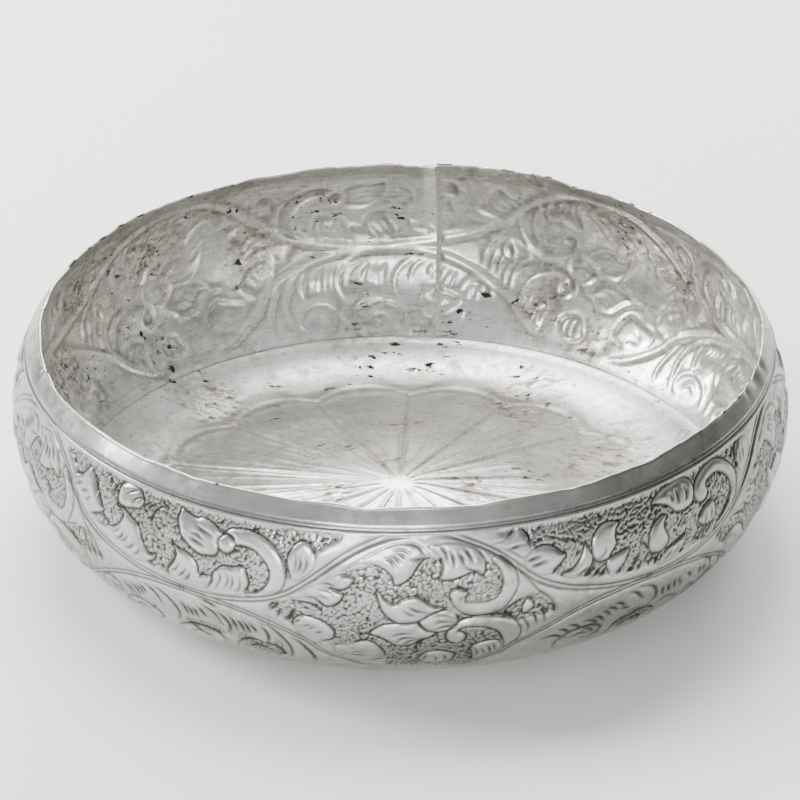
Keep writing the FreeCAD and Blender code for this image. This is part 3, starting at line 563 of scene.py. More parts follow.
def chase(strip):
    """Draws the whole pattern on the strip, every motif once for each fifth of a turn."""
    front = math.radians(FRONT_TURN - 90.0 - SEAM_TURN + 360.0) * BELLY
    for repeat in range(-3, 3):
        rng = np.random.default_rng(40 + repeat % REPEATS)
        middle = front + repeat * PERIOD_MM
        for border in (UPPER_BORDER, *LOWER_BORDERS):
            strip.run_border(np.asarray(border, float) + (middle, 0))
        motifs = ((MEDALLION, middle), (LUNETTES[repeat % REPEATS], middle + PERIOD_MM / 2))
        for motif, place in motifs:
            for outline in (*motif["ground"], *motif.get("low_ground", ())):
                strip.sink(shifted(outline, place, WANDER, rng))
        for motif, place in motifs:
            for outline in motif["leaf"]:
                strip.puff_up(shifted(outline, place, WANDER, rng), *LEAF)
            for outline in motif["ribbon"]:
                strip.puff_up(shifted(outline, place, RIBBON_WANDER, rng), *RIBBON)
            cuts = [(motif["cut"], FINE_CUT)]
            if "low_cut" in motif:
                cuts.append((motif["low_cut"] + LOWER_SCROLL, LOW_CUT))
            for strokes, (depths, width) in cuts:
                for stroke in strokes:
                    strip.cut(shifted(stroke, place, WANDER, rng), rng.uniform(*depths), width)


def strip_heights(strip, depth):
    """Heights in mm of the outside and of the inside over the plain sheet, both at most 0, and
    how dirty each place of the outside is.

    Outside = -depth, and over it FRAME_RISE depth (1 - e^(-border gap / 2.6)) and FIELD_RISE depth
    raised, and under it TOOL_DEPTH of each line and punch mark, where raised is 1 on the frames,
    0 on the ground and a dome on each leaf. The ground's punch marks run like worms: they are
    the narrow bands where a noise with waves of 2.8 mm crosses zero. Inside = PUSHED_IN of the
    relief, blurred, with a ridge behind each line and border. Both fade out at the collar line,
    at the floor line and at the seam, where the sheet is plain.
    """
    chase(strip)
    cell = (strip.downs[-1] - strip.downs[-2], strip.x[1] - strip.x[0])

    def spread(field, width):
        return blur(field, width / cell[1], width / cell[0])

    def waves(down, across, seed, width):
        return band_noise(strip.field.shape, (down / cell[0], across / cell[1]), seed, width)

    sunk = spread(strip.field, 0.9)
    line = np.maximum(strip.line, strip.outline * ramp(sunk, 0.1, 0.7))
    ground = spread(strip.field * ~strip.is_leaf, 0.4)
    raised = np.maximum(1 - sunk, spread(strip.leaf, 0.35))
    broken = ramp(waves(2.2, 2.2, 8, 0.4), -1.1, -0.1)
    punch = np.exp(-(waves(2.7, 2.9, 7, 0.3) / 0.55) ** 2) * broken * ground
    rise = 1 - np.exp(-strip.border / 2.6)
    hammered = 0.05 * waves(14, 17, 11, 0.5) + 0.012 * waves(4, 5, 12, 0.5)
    height = (-depth + FRAME_RISE * depth * rise + FIELD_RISE * depth * raised
              - TOOL_DEPTH * (line + punch) - 0.06 + hammered)
    ridge = 0.75 * spread(line, 0.5) + 0.5 * np.exp(-(strip.border / 1.5) ** 2)
    within = -PUSHED_IN * depth + 0.45 * depth * spread(raised, 1.0) - ridge + 1.2 * hammered

    v = strip.downs[:, None]
    turns = strip.turns[None, :]
    ends = ramp(v, 0.6, 3.0) * ramp(v, FLOOR_FADE[1], FLOOR_FADE[0])
    beside = np.minimum(turns - LAP - BEAD, 360.0 - BEAD - turns)
    fade = ends * ramp(turns, LAP + BEAD, LAP + BEAD + 0.4) * (0.4 + 0.6 * ramp(beside, 0, 1.2))
    fade_in = ends * ramp(360.0 - BEAD - turns, 0.0, 1.2)
    dirt = np.clip(0.95 * line + 0.9 * punch + 0.3 * ground, 0, 1) * ends
    height = np.minimum(height, -0.02) * fade
    within = np.minimum(within, -0.06) * fade_in

    comes_and_goes = ramp(np.sin(strip.x / BELLY + math.radians(SEAM_TURN) + 2.6), -0.5, 0.3)
    collar_cuts = 0.0
    for share, (deep, place, width) in zip((1.0, comes_and_goes[None, :]), COLLAR_LINES):
        collar_cuts = collar_cuts + deep * share * np.exp(-((v - place) / width) ** 2)
    collar_cuts = collar_cuts * ramp(beside, -0.4, 0.6)
    return height - collar_cuts, within - 0.5 * collar_cuts, np.maximum(dirt, 2.3 * collar_cuts)


# --------------------------------------------------------------------------- section curves

def wall_skin(downs, bow_inset, rim_inset):
    """Points and outward directions of one skin of the wall, for distances down from the collar
    line on the outside. Below the line: an arc about the bow's centre. Above it: a straight line
    that leans in to the rim."""
    radius = BOW - bow_inset
    skin_top = math.asin((COLLAR_LINE - BOW_CENTRE[1]) / radius)
    share = np.clip(downs / (BOW * (TOP_ANGLE - FOOT_ANGLE)), 0, 1)
    angle = skin_top + (FOOT_ANGLE - skin_top) * share
    bow = np.stack([BOW_CENTRE[0] + radius * np.cos(angle),
                    BOW_CENTRE[1] + radius * np.sin(angle)], -1)
    collar_foot = bow[np.argmin(np.abs(downs))]
    collar_top = np.array([RIM_RADIUS - rim_inset, RIM_TOP - RIM_SHEET / 2])
    climb = np.clip(downs / downs[0], 0, 1)[:, None] if downs[0] < 0 else 0
    points = np.where(downs[:, None] < 0, collar_foot + climb * (collar_top - collar_foot), bow)
    lean = collar_top - collar_foot
    collar_out = np.array([lean[1], -lean[0]]) / np.hypot(*lean)
    out = np.stack([np.cos(angle), np.sin(angle)], -1)
    blend = ramp(downs, -1.2, 0.6)[:, None]
    out = out * blend + collar_out * (1 - blend)
    return points, out / np.linalg.norm(out, axis=1, keepdims=True)


def dish_skin(count, rise):
    """Points and upward directions of one skin of the dish, from the middle to the edge, where
    rise is how far the skin is above the sheet's underside. The run is a crown arc, the cone's
    straight line, the bend, the standing ring, the heel and the wall's bow; rows are shared out
    by length."""
    bow = BOW - SHEET - FILM - rise
    heel = HEEL_BEND - rise
    reach = math.sqrt((bow - heel) ** 2 - (BOW_CENTRE[1] - HEEL_BEND) ** 2)
    heel_radius = BOW_CENTRE[0] + reach
    heel_turn = math.atan2(HEEL_BEND - BOW_CENTRE[1], reach)
    ring_end = heel_radius - STANDING_WIDTH
    bend, crown = CONE_BEND - rise, CROWN_BEND + rise
    crown_height = CROWN - CROWN_BEND
    climb = CONE_BEND - crown_height
    lean = math.atan2(climb, ring_end) + math.acos((bend + crown) / math.hypot(ring_end, climb))

    def arc(centre, radius, angle, outward):
        out = np.stack([np.cos(angle), np.sin(angle)], -1)
        return np.stack([np.asarray(centre) + radius * out, out * outward])

    run = np.concatenate([
        arc((0.0, crown_height), crown, np.linspace(math.pi / 2, lean, 40), 1),
        arc((ring_end, CONE_BEND), bend, np.linspace(lean + math.pi, 3 * math.pi / 2, 40), -1),
        arc((heel_radius, HEEL_BEND), heel, np.linspace(-math.pi / 2, heel_turn, 60), -1)], 1)
    length = np.concatenate([[0], np.cumsum(np.hypot(*np.diff(run[0], axis=0).T))])
    even = np.linspace(0, length[-1], int(count * 0.94))
    run = np.stack([[np.interp(even, length, part[:, k]) for k in (0, 1)] for part in run])
    run = run.transpose(0, 2, 1)

    rest = count - len(even)
    edge_turn = math.asin((DISH_EDGE - BOW_CENTRE[1]) / bow)
    side = arc(BOW_CENTRE, bow, np.linspace(heel_turn, edge_turn, rest + 1)[1:], -1)
    points, out = np.concatenate([run, side], 1)
    return points, out / np.linalg.norm(out, axis=-1, keepdims=True)


# ------------------------------------------------------------------------------ meshes

def turned(points, turns):
    """(radius, height) points of a grid, in mm, carried to their turns round the Z axis, in m."""
    angle = np.radians(turns + SEAM_TURN)
    radius, height = points[..., 0], points[..., 1]
    return np.stack([radius * np.cos(angle), radius * np.sin(angle), height], -1) * MM


def slab(name, first, edge, second, flip, close_foot, tone, material_rows, materials):
    """A closed piece of sheet from its two skins and the rounding between them.

    first, edge and second are grids of points, (rows, columns, 3), that follow each other round
    the sheet's section. Each pair of neighbouring rows is joined with quads, and the two end
    sections are closed with faces from skin to skin: second has every other row of first. tone
    is the hollow attribute of each point, which the silver's dirt and polish follow.
    """
    grid = np.concatenate([first, edge, second])
    rows, columns = grid.shape[:2]
    index = np.arange(rows * columns).reshape(rows, columns)
    after = np.vstack([index[1:], index[:1]]) if close_foot else index[1:]
    before = index if close_foot else index[:-1]
    quads = np.stack([before[:, :-1], before[:, 1:], after[:, 1:], after[:, :-1]], -1)
    face_rows = np.repeat(np.arange(quads.shape[0]), columns - 1)
    quads = quads.reshape(-1, 4)
    faces = (quads[:, ::-1] if flip else quads).tolist()
    skins = len(first), len(first) + len(edge)
    for column, turned_round in ((0, flip), (columns - 1, not flip)):
        one = index[:skins[0], column]
        other = index[skins[1]:, column][::-1]
        cap = [index[skins[0] - 1:skins[1] + 1, column].tolist(),
               *np.stack([one[:-2:2], one[1:-1:2], other[:-1]], -1).tolist(),
               *np.stack([one[1:-1:2], one[2::2], other[1:], other[:-1]], -1).tolist()]
        faces += [face[::-1] for face in cap] if turned_round else cap
    mesh = bpy.data.meshes.new(name)
    mesh.from_pydata(grid.reshape(-1, 3), [], faces)
    layer = mesh.attributes.new("hollow", "FLOAT", "POINT")
    layer.data.foreach_set("value", tone.astype(np.float32).ravel())
    for material in materials:
        mesh.materials.append(material)
    slots = np.zeros(len(mesh.polygons), np.int32)
    slots[:len(face_rows)] = material_rows[face_rows]
    mesh.polygons.foreach_set("material_index", slots)
    mesh.shade_smooth()
    mesh.set_sharp_from_angle(angle=math.radians(75))
    mesh.update()
    piece = bpy.data.objects.new(name, mesh)
    bpy.context.scene.collection.objects.link(piece)
    return piece


def from_direction(turns, direction):
    """Degrees, from -180 to 180, between turns on the strip and a direction from +X."""
    return (turns + SEAM_TURN - direction + 180) % 360 - 180


def rim_wave(turns):
    """How far the hammered rim falls short of its full height, and how far it stands in or out,
    in mm, at each turn: slow sines, the uneven marks of the hammer as noise, and a few dents."""
    angle = np.radians(turns + SEAM_TURN)
    slow = 0.5 + 0.25 * np.sin(3 * angle + 0.6) + 0.25 * np.sin(7 * angle + 2.1)
    degree = len(turns) / (turns[-1] - turns[0])
    hammer = (0.17 * band_noise((8, len(turns)), (4, 13 * degree), 31, 0.5)
              + 0.07 * band_noise((8, len(turns)), (4, 4 * degree), 32, 0.5))[0]
    drop = np.maximum(0.35 * slow + 0.2 + hammer, 0)
    for direction, width, depth in RIM_DENTS:
        drop = drop + depth * np.exp(-(from_direction(turns, direction) / width) ** 2)
    sway = (0.35 * np.sin(5 * angle + 1.7) + 0.2 * np.sin(11 * angle + 0.4)
            + 0.12 * np.sin(29 * angle))
    return drop, sway


# --------------------------------------------------------------------------- the bowl's pieces

def make_strip():
    """The grid that the wall's outside is worked out on. Each of its rows and columns is one of
    the mesh, so it runs from the rim's slope down the bow and once round with the lap."""
    collar = np.linspace(-COLLAR, 0, COLLAR_ROWS)
    bow = np.linspace(0, BOW * (TOP_ANGLE - FOOT_ANGLE), BOW_ROWS)
    turns = np.linspace(0, 360.0 + LAP, WALL_PANELS * PANEL_COLUMNS + 1)
    return Strip(turns, np.concatenate([collar, bow[1:]]))


def stepped_skin(strip, downs, is_inner, relief):
    """One skin of the strip as (rows, columns, 2) points: the plain skin, stepped in by the
    joggle where it goes under the lap, pushed in by the relief and waved at the rim.

    The step is longer on the inside, where its foot would show as a box, and the stepped end is
    filed thinner where it goes behind the dish.
    """
    plain, out = wall_skin(downs, is_inner * SHEET, is_inner * RIM_SHEET)
    lapped, _ = wall_skin(downs, (is_inner + 1) * SHEET + FILM, (is_inner + 1) * RIM_SHEET + FILM)
    stepped = 1 - ramp(strip.turns, LAP, LAP + JOGGLE)[None, :, None]
    if is_inner:
        gentle = 1 - ramp(strip.turns, LAP, LAP + 3 * JOGGLE)[None, :, None]
        stepped = stepped + (gentle - stepped) * ramp(plain[:, 1], 11, 16)[:, None, None]
    points = plain[:, None] * (1 - stepped) + lapped[:, None] * stepped
    if is_inner:
        behind_dish = ramp(points[..., 1], DISH_EDGE + 0.3, DISH_EDGE - 0.5) * stepped[..., 0]
        relief = relief + SCARF * behind_dish
    points = points + out[:, None] * relief[..., None]
    drop, sway = rim_wave(strip.turns)
    climb = np.clip(-downs / COLLAR, 0, 1)[:, None]
    points[..., 0] += climb * sway
    points[..., 1] -= climb ** 2 * drop
    return points


def build_wall(depth, materials):
    """The chased strip as panels, each a closed piece of sheet from foot to rim."""
    strip = make_strip()
    height, within, dirt = strip_heights(strip, depth)
    downs_in, within = strip.downs[::2], within[::2]
    outer = stepped_skin(strip, strip.downs, 0, height)
    inner = stepped_skin(strip, downs_in, 1, within)

    # Inside, what lies deeper than what is round it is dull and what stands out is rubbed, the
    # top is duller than the foot, and the seam is wiped bright.
    cell = (INSIDE_ROW, strip.x[1] - strip.x[0])
    hollow = (within - blur(within, 1.6 / cell[1], 1.6 / cell[0])) / 0.6
    hollow = hollow + 0.3 * ramp(downs_in, 24, -4)[:, None]
    wiped = ramp(strip.turns, 2.3, 1.3) * ramp(downs_in, 50, 30)[:, None]
    hollow = hollow * (1 - wiped) - wiped

    # The rim's rounding is half an ellipse from skin to skin.
    middle = (outer[0] + inner[0]) / 2
    reach = (outer[0] - inner[0]) / 2
    bend = np.linspace(0, np.pi, 7)[1:-1][:, None, None]
    rise = np.minimum(np.hypot(reach[:, 0], reach[:, 1]), RIM_SHEET / 2)
    lift = np.stack([np.zeros(len(strip.turns)), rise], -1)
    rim = middle + reach * np.cos(bend) + lift * np.sin(bend)
    chips = band_noise((8, len(strip.turns)), (4, 26), 21, 0.9)[:1]
    for direction, width in RIM_DIRT:
        chips = chips + 1.1 * np.exp(-(from_direction(strip.turns, direction) / width) ** 2)
    rim_dirt = np.repeat(ramp(chips, 2.0, 2.3), len(rim), 0)

    first, edge, second = (turned(part, strip.turns) for part in (outer[::-1], rim, inner))
    tone = np.concatenate([dirt[::-1], rim_dirt, hollow])
    is_inside = (np.arange(len(tone)) >= len(first) + 3).astype(np.int32)
    for panel in range(WALL_PANELS):
        part = np.s_[:, panel * PANEL_COLUMNS:(panel + 1) * PANEL_COLUMNS + 1]
        piece = slab(f"wall_panel_{panel + 1}", first[part], edge[part], second[part],
                     False, True, tone[part], is_inside, materials)
        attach(piece, "root")
        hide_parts("wall_sheet")


def rosette(radius, angle):
    """Height of the pushed-up rosette, in mm, at radii in mm and angles in degrees.

    Sixteen petals. Along each crease between two petals, a valley and, beside it, a ridge; round
    each petal's tip, a ridge and a cut inside it; down its middle, a rib with two short ones
    beside it. Each is a Gaussian across its line.
    """
    pitch = 360.0 / PETALS
    number = np.floor((angle - FIRST_CREASE) / pitch) % PETALS
    across = (angle - FIRST_CREASE) % pitch - pitch / 2
    hand = np.sin(number * 2.4 + 0.7)
    half_chord = np.radians(pitch / 2) * radius
    from_middle = np.radians(across) * radius
    from_crease = np.where(across > 0, from_middle - half_chord, from_middle + half_chord)
    narrow = 0.3 + 0.7 * ramp(radius, 6, 46)
    out_to_tips = ramp(radius, 2.5, 9) * (1 - ramp(radius, 80, 90))
    out_to_tips = out_to_tips * (1 - 0.5 * ramp(radius, 40, 80))

    def line(gap, width):
        return np.exp(-(gap / (width * narrow)) ** 2)

    crease = (-0.42 * line(from_crease, 0.8) + 0.46 * line(from_crease - 1.7 * narrow, 1.0)
              + 0.16 * line(from_crease + 1.9 * narrow, 0.9))
    rib = 0.3 * line(from_middle - (0.6 + 0.9 * hand) * narrow, 1.0)
    rib = rib * ramp(radius, 10, 24) * (1 - ramp(radius, 52 + 14 * hand, 74 + 10 * hand))
    side = 0.24 * (line(from_middle - 0.52 * half_chord, 0.9)
                   + line(from_middle + 0.5 * half_chord, 0.9))
    side = side * ramp(radius, 26, 44 + 8 * hand) * (1 - ramp(radius, 66, 84))
    body = 0.22 * np.cos(np.radians(across) * PETALS / 2 * 0.9) * ramp(radius, 20, 70)
    tip = 93.0 - 6.2 * np.abs(across / (pitch / 2)) ** 2.3
    contour = (0.26 * np.exp(-((radius - tip) / 1.2) ** 2)
               - 0.16 * np.exp(-((radius - tip + 2.6) / 1.0) ** 2)
               + 0.14 * np.exp(-((radius - tip + 5.0) / 1.1) ** 2))
    inside = 1 - ramp(radius - tip, -1.5, 1.5)
    return (crease + rib + side) * out_to_tips + body * inside + contour * ramp(radius, 60, 80)


def uneven(x, y):
    """Slow waves of hand-beaten sheet, in mm, at places in mm: products of two sines, added."""
    return (0.12 * np.sin(x / 9.1 + 0.4) * np.sin(y / 11.3 + 1.9)
            + 0.10 * np.sin((x + y) / 13.7) * np.sin((x - y) / 8.3 + 0.8)
            + 0.05 * np.sin(x / 4.7 + 2.2) * np.sin(y / 5.3))


def build_dish(material):
    """The base dish in two halves, each closed along the cut. The relief pushes both skins, but
    under the rim of the floor it doesn't thin the sheet, and nothing goes below the table. Where
    the wall's stepped end passes, the dish's edge is filed thinner on the outside."""
    rows = 2 * DISH_ROWS - 1
    top_run, up = (part[:, None] for part in dish_skin(rows, SHEET))
    under_run, down = (part[:, None] for part in dish_skin(rows, 0.0))
    for half in (0, 1):
        turns = np.linspace(180.0 * half, 180.0 * (half + 1), DISH_COLUMNS + 1)
        from_seam = (turns + 90.0) % 360.0 - 90.0
        at_step = (ramp(from_seam, NOTCH[0], NOTCH[0] + 0.3)
                   * ramp(from_seam, NOTCH[1], NOTCH[1] - 0.3))
        angle = (turns + SEAM_TURN)[None, :]
        radius = top_run[..., 0]
        x, y = radius * np.cos(np.radians(angle)), radius * np.sin(np.radians(angle))
        relief = (rosette(radius, angle)
                  + uneven(x, y) * ramp(radius, 104, 98) * ramp(radius, 0, 6))
        top = top_run + up * relief[..., None]
        pushed = np.where(radius > 79, np.maximum(relief, 0), relief)
        below = under_run + down * pushed[..., None]
        below[..., 1] = np.maximum(below[..., 1], 0)
        filed = at_step * ramp(below[..., 1], NOTCH_FLOOR, FOOT + 1) * (radius > 100)
        below = (below - down * (SCARF * filed)[..., None])[::2]
        rounding = (top[-1:] + below[-1:]) / 2 + (0, 0.15)
        tone = (blur(relief, 2.0, 1.0) - relief) / 0.75
        tone = np.concatenate([tone, np.zeros((1, len(turns))), tone[::-2]])
        piece = slab(f"dish_half_{half + 1}", turned(top, turns), turned(rounding, turns),
                     turned(below[::-1], turns), True, False, tone,
                     np.zeros(len(tone), np.int32), [material])
        close_poles(piece.data, len(turns))
        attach(piece, "root")
        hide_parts("base_dish")


def close_poles(mesh, columns):
    """Joins the first row's points into one, and the last row's, where the dish meets its axis."""
    shape = bmesh.new()
    shape.from_mesh(mesh)
    shape.verts.ensure_lookup_table()
    for row in (shape.verts[:columns], shape.verts[-columns:]):
        bmesh.ops.remove_doubles(shape, verts=row, dist=1e-5)
        shape.verts.ensure_lookup_table()
    shape.to_mesh(mesh)
    shape.free()


# ------------------------------------------------------------------------------- materials

def colour(hex_code):
    """Linear RGBA of an sRGB hex colour."""
    parts = [int(hex_code[k:k + 2], 16) / 255 for k in (1, 3, 5)]
    return (*(c / 12.92 if c <= 0.04045 else ((c + 0.055) / 1.055) ** 2.4 for c in parts), 1.0)


def add(tree, kind, sockets=(), **settings):
    """Adds a node, sets its properties, and fills or links its sockets."""
    made = tree.nodes.new(kind)
    for name, value in settings.items():
        setattr(made, name, value)
    for socket, value in dict(sockets).items():
        if isinstance(value, bpy.types.NodeSocket):
            tree.links.new(value, made.inputs[socket])
        else:
            made.inputs[socket].default_value = value
    return made


def new_material(name):
    material = bpy.data.materials.new(name)
    material.use_nodes = True
    material.node_tree.nodes.clear()
    return material, material.node_tree


def patches(tree, place, size, low, high, detail=4.0, seed=0.0, most=1.0, drawn=(1, 1, 1)):
    """A soft mask of patches of a size in mm: noise, raised from 0 at low to most at high.

    most may be a mask too, and then the patches show only where that one does. drawn squeezes
    the places that the noise is read at, so a small number draws the patches out along an axis.
    """
    where = add(tree, "ShaderNodeVectorMath", {
        0: place, 1: drawn, 2: (seed, seed * 0.7, seed * 1.3)}, operation="MULTIPLY_ADD")
    noise = add(tree, "ShaderNodeTexNoise", {
        "Vector": where.outputs[0], "Scale": 1 / (size * MM), "Detail": detail,
        "Roughness": 0.62})
    return add(tree, "ShaderNodeMapRange", {
        "Value": noise.outputs["Fac"], "From Min": low, "From Max": high, "To Max": most},
        clamp=True).outputs[0]


def painted(tree, tint, *coats):
    """A colour under coats of other colours, each with the mask of where it covers."""
    for share, over in coats:
        tint = add(tree, "ShaderNodeMix", {"Factor": share, "A": tint, "B": over},
                   data_type="RGBA").outputs["Result"]
    return tint


def stained_places(tree, place, stains):
    """A mask of the stains, each a soft ball: 1 within a fifth of its reach, 0 beyond it."""
    stained = 0.0
    for middle, reach in stains:
        gap = add(tree, "ShaderNodeVectorMath", {0: place, 1: Vector(middle) * MM},
                  operation="DISTANCE").outputs["Value"]
        near = add(tree, "ShaderNodeMapRange", {
            "Value": gap, "From Min": reach * MM, "From Max": 0.2 * reach * MM},
            clamp=True).outputs[0]
        stained = add(tree, "ShaderNodeMath", {0: near, 1: stained},
                      operation="MAXIMUM").outputs[0]
    return stained


def silver(name, clean, tarnish, dirt, rough, spots=0, stains=(), painted_shade_sides=()):
    """Sheet silver, beaten and chased by hand: bright where it is rubbed, dark in the cuts.

    The attribute hollow is over 0 where dirt sits and under 0 where hands and cloths rub. Over
    the clean colour lie clouds of tarnish, fine brushing, painted shade on the sides, the dirt
    and, where there are spots, scratches, brown stains and black flecks, which aren't metal. The
    painted shade is a darker grey towards the left and right that stands in for dark reflections.
    spots says how much of the sheet has flecks, and the stains and the sides' painted shade are
    as in the tables at the top.
    """
    material, tree = new_material(name)
    place = add(tree, "ShaderNodeTexCoord").outputs["Object"]
    hollow = add(tree, "ShaderNodeAttribute", attribute_name="hollow").outputs["Fac"]
    in_cut, rubbed = (add(tree, "ShaderNodeMapRange", {
        "Value": hollow, "From Min": start, "From Max": end}, clamp=True).outputs[0]
        for start, end in ((0.08, 1.05), (-0.2, -1.0)))
    fine = patches(tree, place, 3.2, 0.38, 0.66, detail=6.0, seed=0.37)
    clouds = patches(tree, place, 20, 0.4, 0.62, seed=0.11, most=fine)
    brushed = patches(tree, place, 0.9, 0.3, 0.7, seed=0.2, most=0.4, drawn=(0.05, 0.05, 1))
    tint = painted(tree, clean, (clouds, colour(tarnish)), (brushed, colour(tarnish)))
    across = add(tree, "ShaderNodeSeparateXYZ", {0: place}).outputs["X"]
    # Painted shade: towards each side, along X, the colour darkens to a grey that stands in for dark
    # reflections.
    for start, end, share in painted_shade_sides:
        painted_shade = add(tree, "ShaderNodeMapRange", {
            "Value": across, "From Min": start * MM, "From Max": end * MM, "To Max": share},
            clamp=True).outputs[0]
        tint = painted(tree, tint, (painted_shade, colour("#7f7c77")))
    tint = painted(tree, tint, (in_cut, colour(dirt)), (rubbed, clean))
    roughness = add(tree, "ShaderNodeMapRange", {
        "Value": fine, "To Min": rough, "To Max": rough + 0.14}).outputs[0]
    metal = 1.0
    if spots:
        scratch = patches(tree, place, 0.9, 0.6, 0.68, detail=2.0, seed=4.4, most=0.4,
                          drawn=(0.07, 1, 1))
        stained = stained_places(tree, place, stains)
        brown = patches(tree, place, 2.4, 0.46, 0.58, 7.0, 3.7, stained, drawn=(0.5, 1, 1))
        loose = patches(tree, place, 24, 0.5, 0.58, seed=2.3)
        flecks = [patches(tree, place, size, low, high, detail, seed, most, drawn=(0.5, 1, 1))
                  for size, low, high, detail, seed, most in (
                      (2.6, 0.66 - 0.05 * spots, 0.69 - 0.05 * spots, 5.0, 1.9, loose),
                      (2.0, 0.56, 0.6, 6.0, 5.3, stained))]
        fleck = add(tree, "ShaderNodeMath", dict(enumerate(flecks)),
                    operation="MAXIMUM").outputs[0]
        thin, half = (add(tree, "ShaderNodeMath", {0: brown, 1: share},
                          operation="MULTIPLY").outputs[0] for share in (0.75, 0.5))
        tint = painted(tree, tint, (scratch, colour(dirt)), (thin, colour("#6e5136")),
                       (fleck, colour("#231f1b")))
        marks = add(tree, "ShaderNodeMath", {0: fleck, 1: half}, operation="MAXIMUM").outputs[0]
        metal = add(tree, "ShaderNodeMapRange", {
            "Value": marks, "To Min": 1.0, "To Max": 0.15}).outputs[0]
        roughness = add(tree, "ShaderNodeMath", {0: marks, 1: 0.35, 2: roughness},
                        operation="MULTIPLY_ADD", use_clamp=True).outputs[0]
    grain = add(tree, "ShaderNodeTexNoise", {"Vector": place, "Scale": 1 / (1.1 * MM),
                                             "Detail": 3.0}).outputs["Fac"]
    bump = add(tree, "ShaderNodeBump", {"Height": grain, "Strength": 0.25,
                                        "Distance": 0.06 * MM}).outputs[0]
    give_surface(tree, {"Base Color": tint, "Metallic": metal, "Roughness": roughness,
                        "Normal": bump})
    return material


def solder_metal():
    """Silver solder, run and left from the torch: duller and a little yellow beside the sheet,
    with small pits."""
    material, tree = new_material("torch_run_silver_solder")
    place = add(tree, "ShaderNodeTexCoord").outputs["Object"]
    pits = patches(tree, place, 1.4, 0.35, 0.7)
    rough = add(tree, "ShaderNodeMapRange", {"Value": pits, "To Min": 0.34,
                                             "To Max": 0.52}).outputs[0]
    bump = add(tree, "ShaderNodeBump", {"Height": pits, "Strength": 0.3,
                                        "Distance": 0.08 * MM}).outputs[0]
    tint = painted(tree, colour("#e8e6e1"), (pits, colour("#bbb8b0")))
    give_surface(tree, {"Base Color": tint, "Metallic": 1.0, "Roughness": rough, "Normal": bump})
    return material


def table_top():
    """A matt white board, a shade uneven."""
    material, tree = new_material("matt_white_table")
    place = add(tree, "ShaderNodeTexCoord").outputs["Object"]
    uneven_white = patches(tree, place, 400, 0.3, 0.7)
    tint = painted(tree, colour("#fafaf9"), (uneven_white, colour("#f7f7f6")))
    give_surface(tree, {"Base Color": tint, "Roughness": 0.9})
    return material


def give_surface(tree, sockets):
    """Ends a material with its surface."""
    shader = add(tree, "ShaderNodeBsdfPrincipled", sockets)
    add(tree, "ShaderNodeOutputMaterial", {"Surface": shader.outputs[0]})


# --------------------------------------------------------------------------------- studio

def build_stage(light, surroundings):
    """Pale table, pale surroundings with a dim zone low on the right, soft boxes and camera."""
    scene = bpy.context.scene
    mesh = bpy.data.meshes.new("table")
    reach = 6.0
    mesh.from_pydata([(-reach, -reach, 0), (reach, -reach, 0), (reach, reach, 0),
                      (-reach, reach, 0)], [], [(0, 1, 2, 3)])
    mesh.materials.append(table_top())
    table = bpy.data.objects.new("table", mesh)
    scene.collection.objects.link(table)

    world = bpy.data.worlds.new("pale_studio")
    world.use_nodes = True
    sky = world.node_tree
    way = add(sky, "ShaderNodeSeparateXYZ", {0: add(sky, "ShaderNodeTexCoord").outputs[0]})
    bright = 0.0
    for axis, start, end in BRIGHT_SIDES:
        share = add(sky, "ShaderNodeMapRange", {
            "Value": way.outputs[axis], "From Min": start, "From Max": end},
            clamp=True).outputs[0]
        bright = add(sky, "ShaderNodeMath", {0: share, 1: bright},
                     operation="MAXIMUM").outputs[0]
    background = sky.nodes["Background"]
    sky.links.new(painted(sky, colour("#5c5f62"), (bright, colour("#fdfefe"))),
                  background.inputs["Color"])
    background.inputs["Strength"].default_value = surroundings
    scene.world = world

    for name, place, aim, size, power in SOFT_BOXES:
        lamp = bpy.data.lights.new(name, "AREA")
        lamp.shape = "RECTANGLE"
        lamp.size, lamp.size_y = size
        lamp.energy = power * light
        holder = bpy.data.objects.new(name, lamp)
        holder.location = place
        holder.rotation_euler = (Vector(aim) - Vector(place)).to_track_quat("-Z", "Y").to_euler()
        scene.collection.objects.link(holder)

    lens = bpy.data.cameras.new("camera")
    lens.sensor_width = 36.0
    lens.lens = LENS
    camera = bpy.data.objects.new("camera", lens)
    tilt = math.radians(CAMERA_TILT)
    target = Vector((0, 0, (RIM_TOP - TARGET_BELOW_RIM) * MM))
    camera.location = target + Vector((0, -math.cos(tilt), math.sin(tilt))) * CAMERA_AWAY * MM
    camera.rotation_euler = (math.pi / 2 - tilt, 0, 0)
    scene.collection.objects.link(camera)
    scene.camera = camera


# --------------------------------------------------------------------------------- add-on

class BowlReliefSettings(bpy.types.PropertyGroup):
    depth: bpy.props.FloatProperty(
        name="Relief depth", description="From the plain collar down to the borders of the fields",
        default=1.1 * MM, min=0.0, max=3 * MM, unit="LENGTH", precision=5)


def clean_colour(name, description, hex_code):
    return bpy.props.FloatVectorProperty(name=name, description=description, subtype="COLOR",
                                         size=4, min=0.0, max=1.0, default=colour(hex_code))


class BowlSilverSettings(bpy.types.PropertyGroup):
    outside: clean_colour("Outside", "Chased silver where it is clean", "#cecdca")
    inside: clean_colour("Inside", "The wall's beaten inside where it is clean", "#f7f6f2")
    floor: clean_colour("Floor", "The worn floor where it is clean", "#f6f5f2")
    roughness: bpy.props.FloatProperty(
        name="Roughness", description="Of the rubbed silver", default=0.3, min=0.0, max=1.0,
        subtype="FACTOR")
    spots: bpy.props.FloatProperty(
        name="Black flecks", description="How much of the inside they cover", default=1.2,
        min=0.1, max=2.0, subtype="FACTOR")


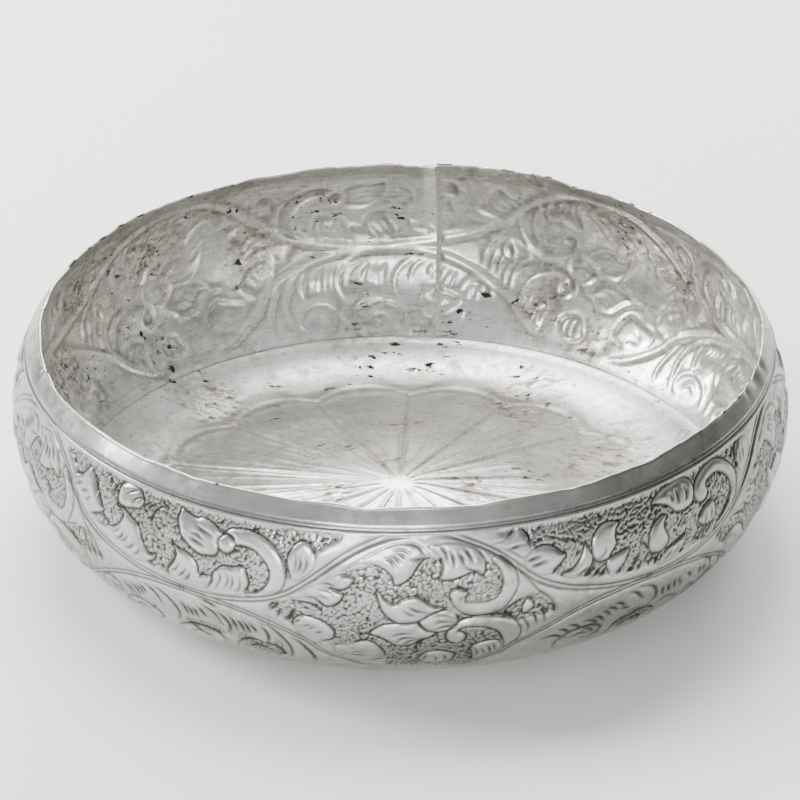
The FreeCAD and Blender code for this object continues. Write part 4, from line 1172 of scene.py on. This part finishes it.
class BowlStageSettings(bpy.types.PropertyGroup):
    light: bpy.props.FloatProperty(
        name="Light", description="Power of the soft boxes, as a share", default=1.0, min=0.0,
        max=10.0, subtype="FACTOR")
    surroundings: bpy.props.FloatProperty(
        name="Surroundings", description="Brightness of the studio round the bowl", default=0.8,
        min=0.0, max=3.0, subtype="FACTOR")


class BOWL_OT_stage(bpy.types.Operator):
    """Lays the table, sets the lights and places the camera"""
    bl_idname = "bowl.stage"
    bl_label = "Stage"

    def execute(self, context):
        stage = context.scene.bowl_stage
        build_stage(stage.light, stage.surroundings)
        return {"FINISHED"}


class BOWL_OT_wall(bpy.types.Operator):
    """Chases the wall's strip and shapes it round the bowl"""
    bl_idname = "bowl.wall"
    bl_label = "Wall"

    def execute(self, context):
        metal = context.scene.bowl_silver
        outside = silver("chased_silver_outside", metal.outside, "#94938e", "#2f2d2a",
                         metal.roughness - 0.05, painted_shade_sides=PAINTED_SHADE_SIDES)
        inside = silver("beaten_silver_inside", metal.inside, "#98968b", "#4e4b44",
                        metal.roughness - 0.05, metal.spots, WALL_STAINS)
        build_wall(context.scene.bowl_relief.depth / MM, [outside, inside])
        return {"FINISHED"}


class BOWL_OT_dish(bpy.types.Operator):
    """Raises the base dish with its rosette"""
    bl_idname = "bowl.dish"
    bl_label = "Base dish"

    def execute(self, context):
        metal = context.scene.bowl_silver
        build_dish(silver("worn_silver_floor", metal.floor, "#b0ada3", "#6d695f",
                          metal.roughness - 0.04, 1.1 * metal.spots, FLOOR_STAINS))
        return {"FINISHED"}


class BOWL_OT_solder(bpy.types.Operator):
    """Gives the solder of the seam and of the base its metal"""
    bl_idname = "bowl.solder"
    bl_label = "Solder"

    def execute(self, context):
        metal = solder_metal()
        for name in ("seam_solder", "base_solder"):
            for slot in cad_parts[name].material_slots:
                slot.material = metal
        return {"FINISHED"}


class BOWL_PT_panel(bpy.types.Panel):
    bl_label = "Offering bowl"
    bl_space_type = "VIEW_3D"
    bl_region_type = "UI"
    bl_category = "Bowl"

    def draw(self, context):
        scene = context.scene
        for group, names in ((scene.bowl_stage, ("light", "surroundings")),
                             (scene.bowl_relief, ("depth",)),
                             (scene.bowl_silver, ("outside", "inside", "floor",
                                                  "roughness", "spots"))):
            for name in names:
                self.layout.prop(group, name)
        for step in STEPS:
            self.layout.operator(f"bowl.{step}")


STEPS = ("stage", "wall", "dish", "solder")
GROUPS = {"bowl_relief": BowlReliefSettings, "bowl_silver": BowlSilverSettings,
          "bowl_stage": BowlStageSettings}
CLASSES = (*GROUPS.values(), BOWL_OT_stage, BOWL_OT_wall, BOWL_OT_dish, BOWL_OT_solder,
           BOWL_PT_panel)


def register():
    for entry in CLASSES:
        bpy.utils.register_class(entry)
    for name, group in GROUPS.items():
        setattr(bpy.types.Scene, name, bpy.props.PointerProperty(type=group))


def unregister():
    for name in GROUPS:
        delattr(bpy.types.Scene, name)
    for entry in reversed(CLASSES):
        bpy.utils.unregister_class(entry)


def main():
    register()
    for step in STEPS:
        getattr(bpy.ops.bowl, step)()


if __name__ == "__main__":
    main()
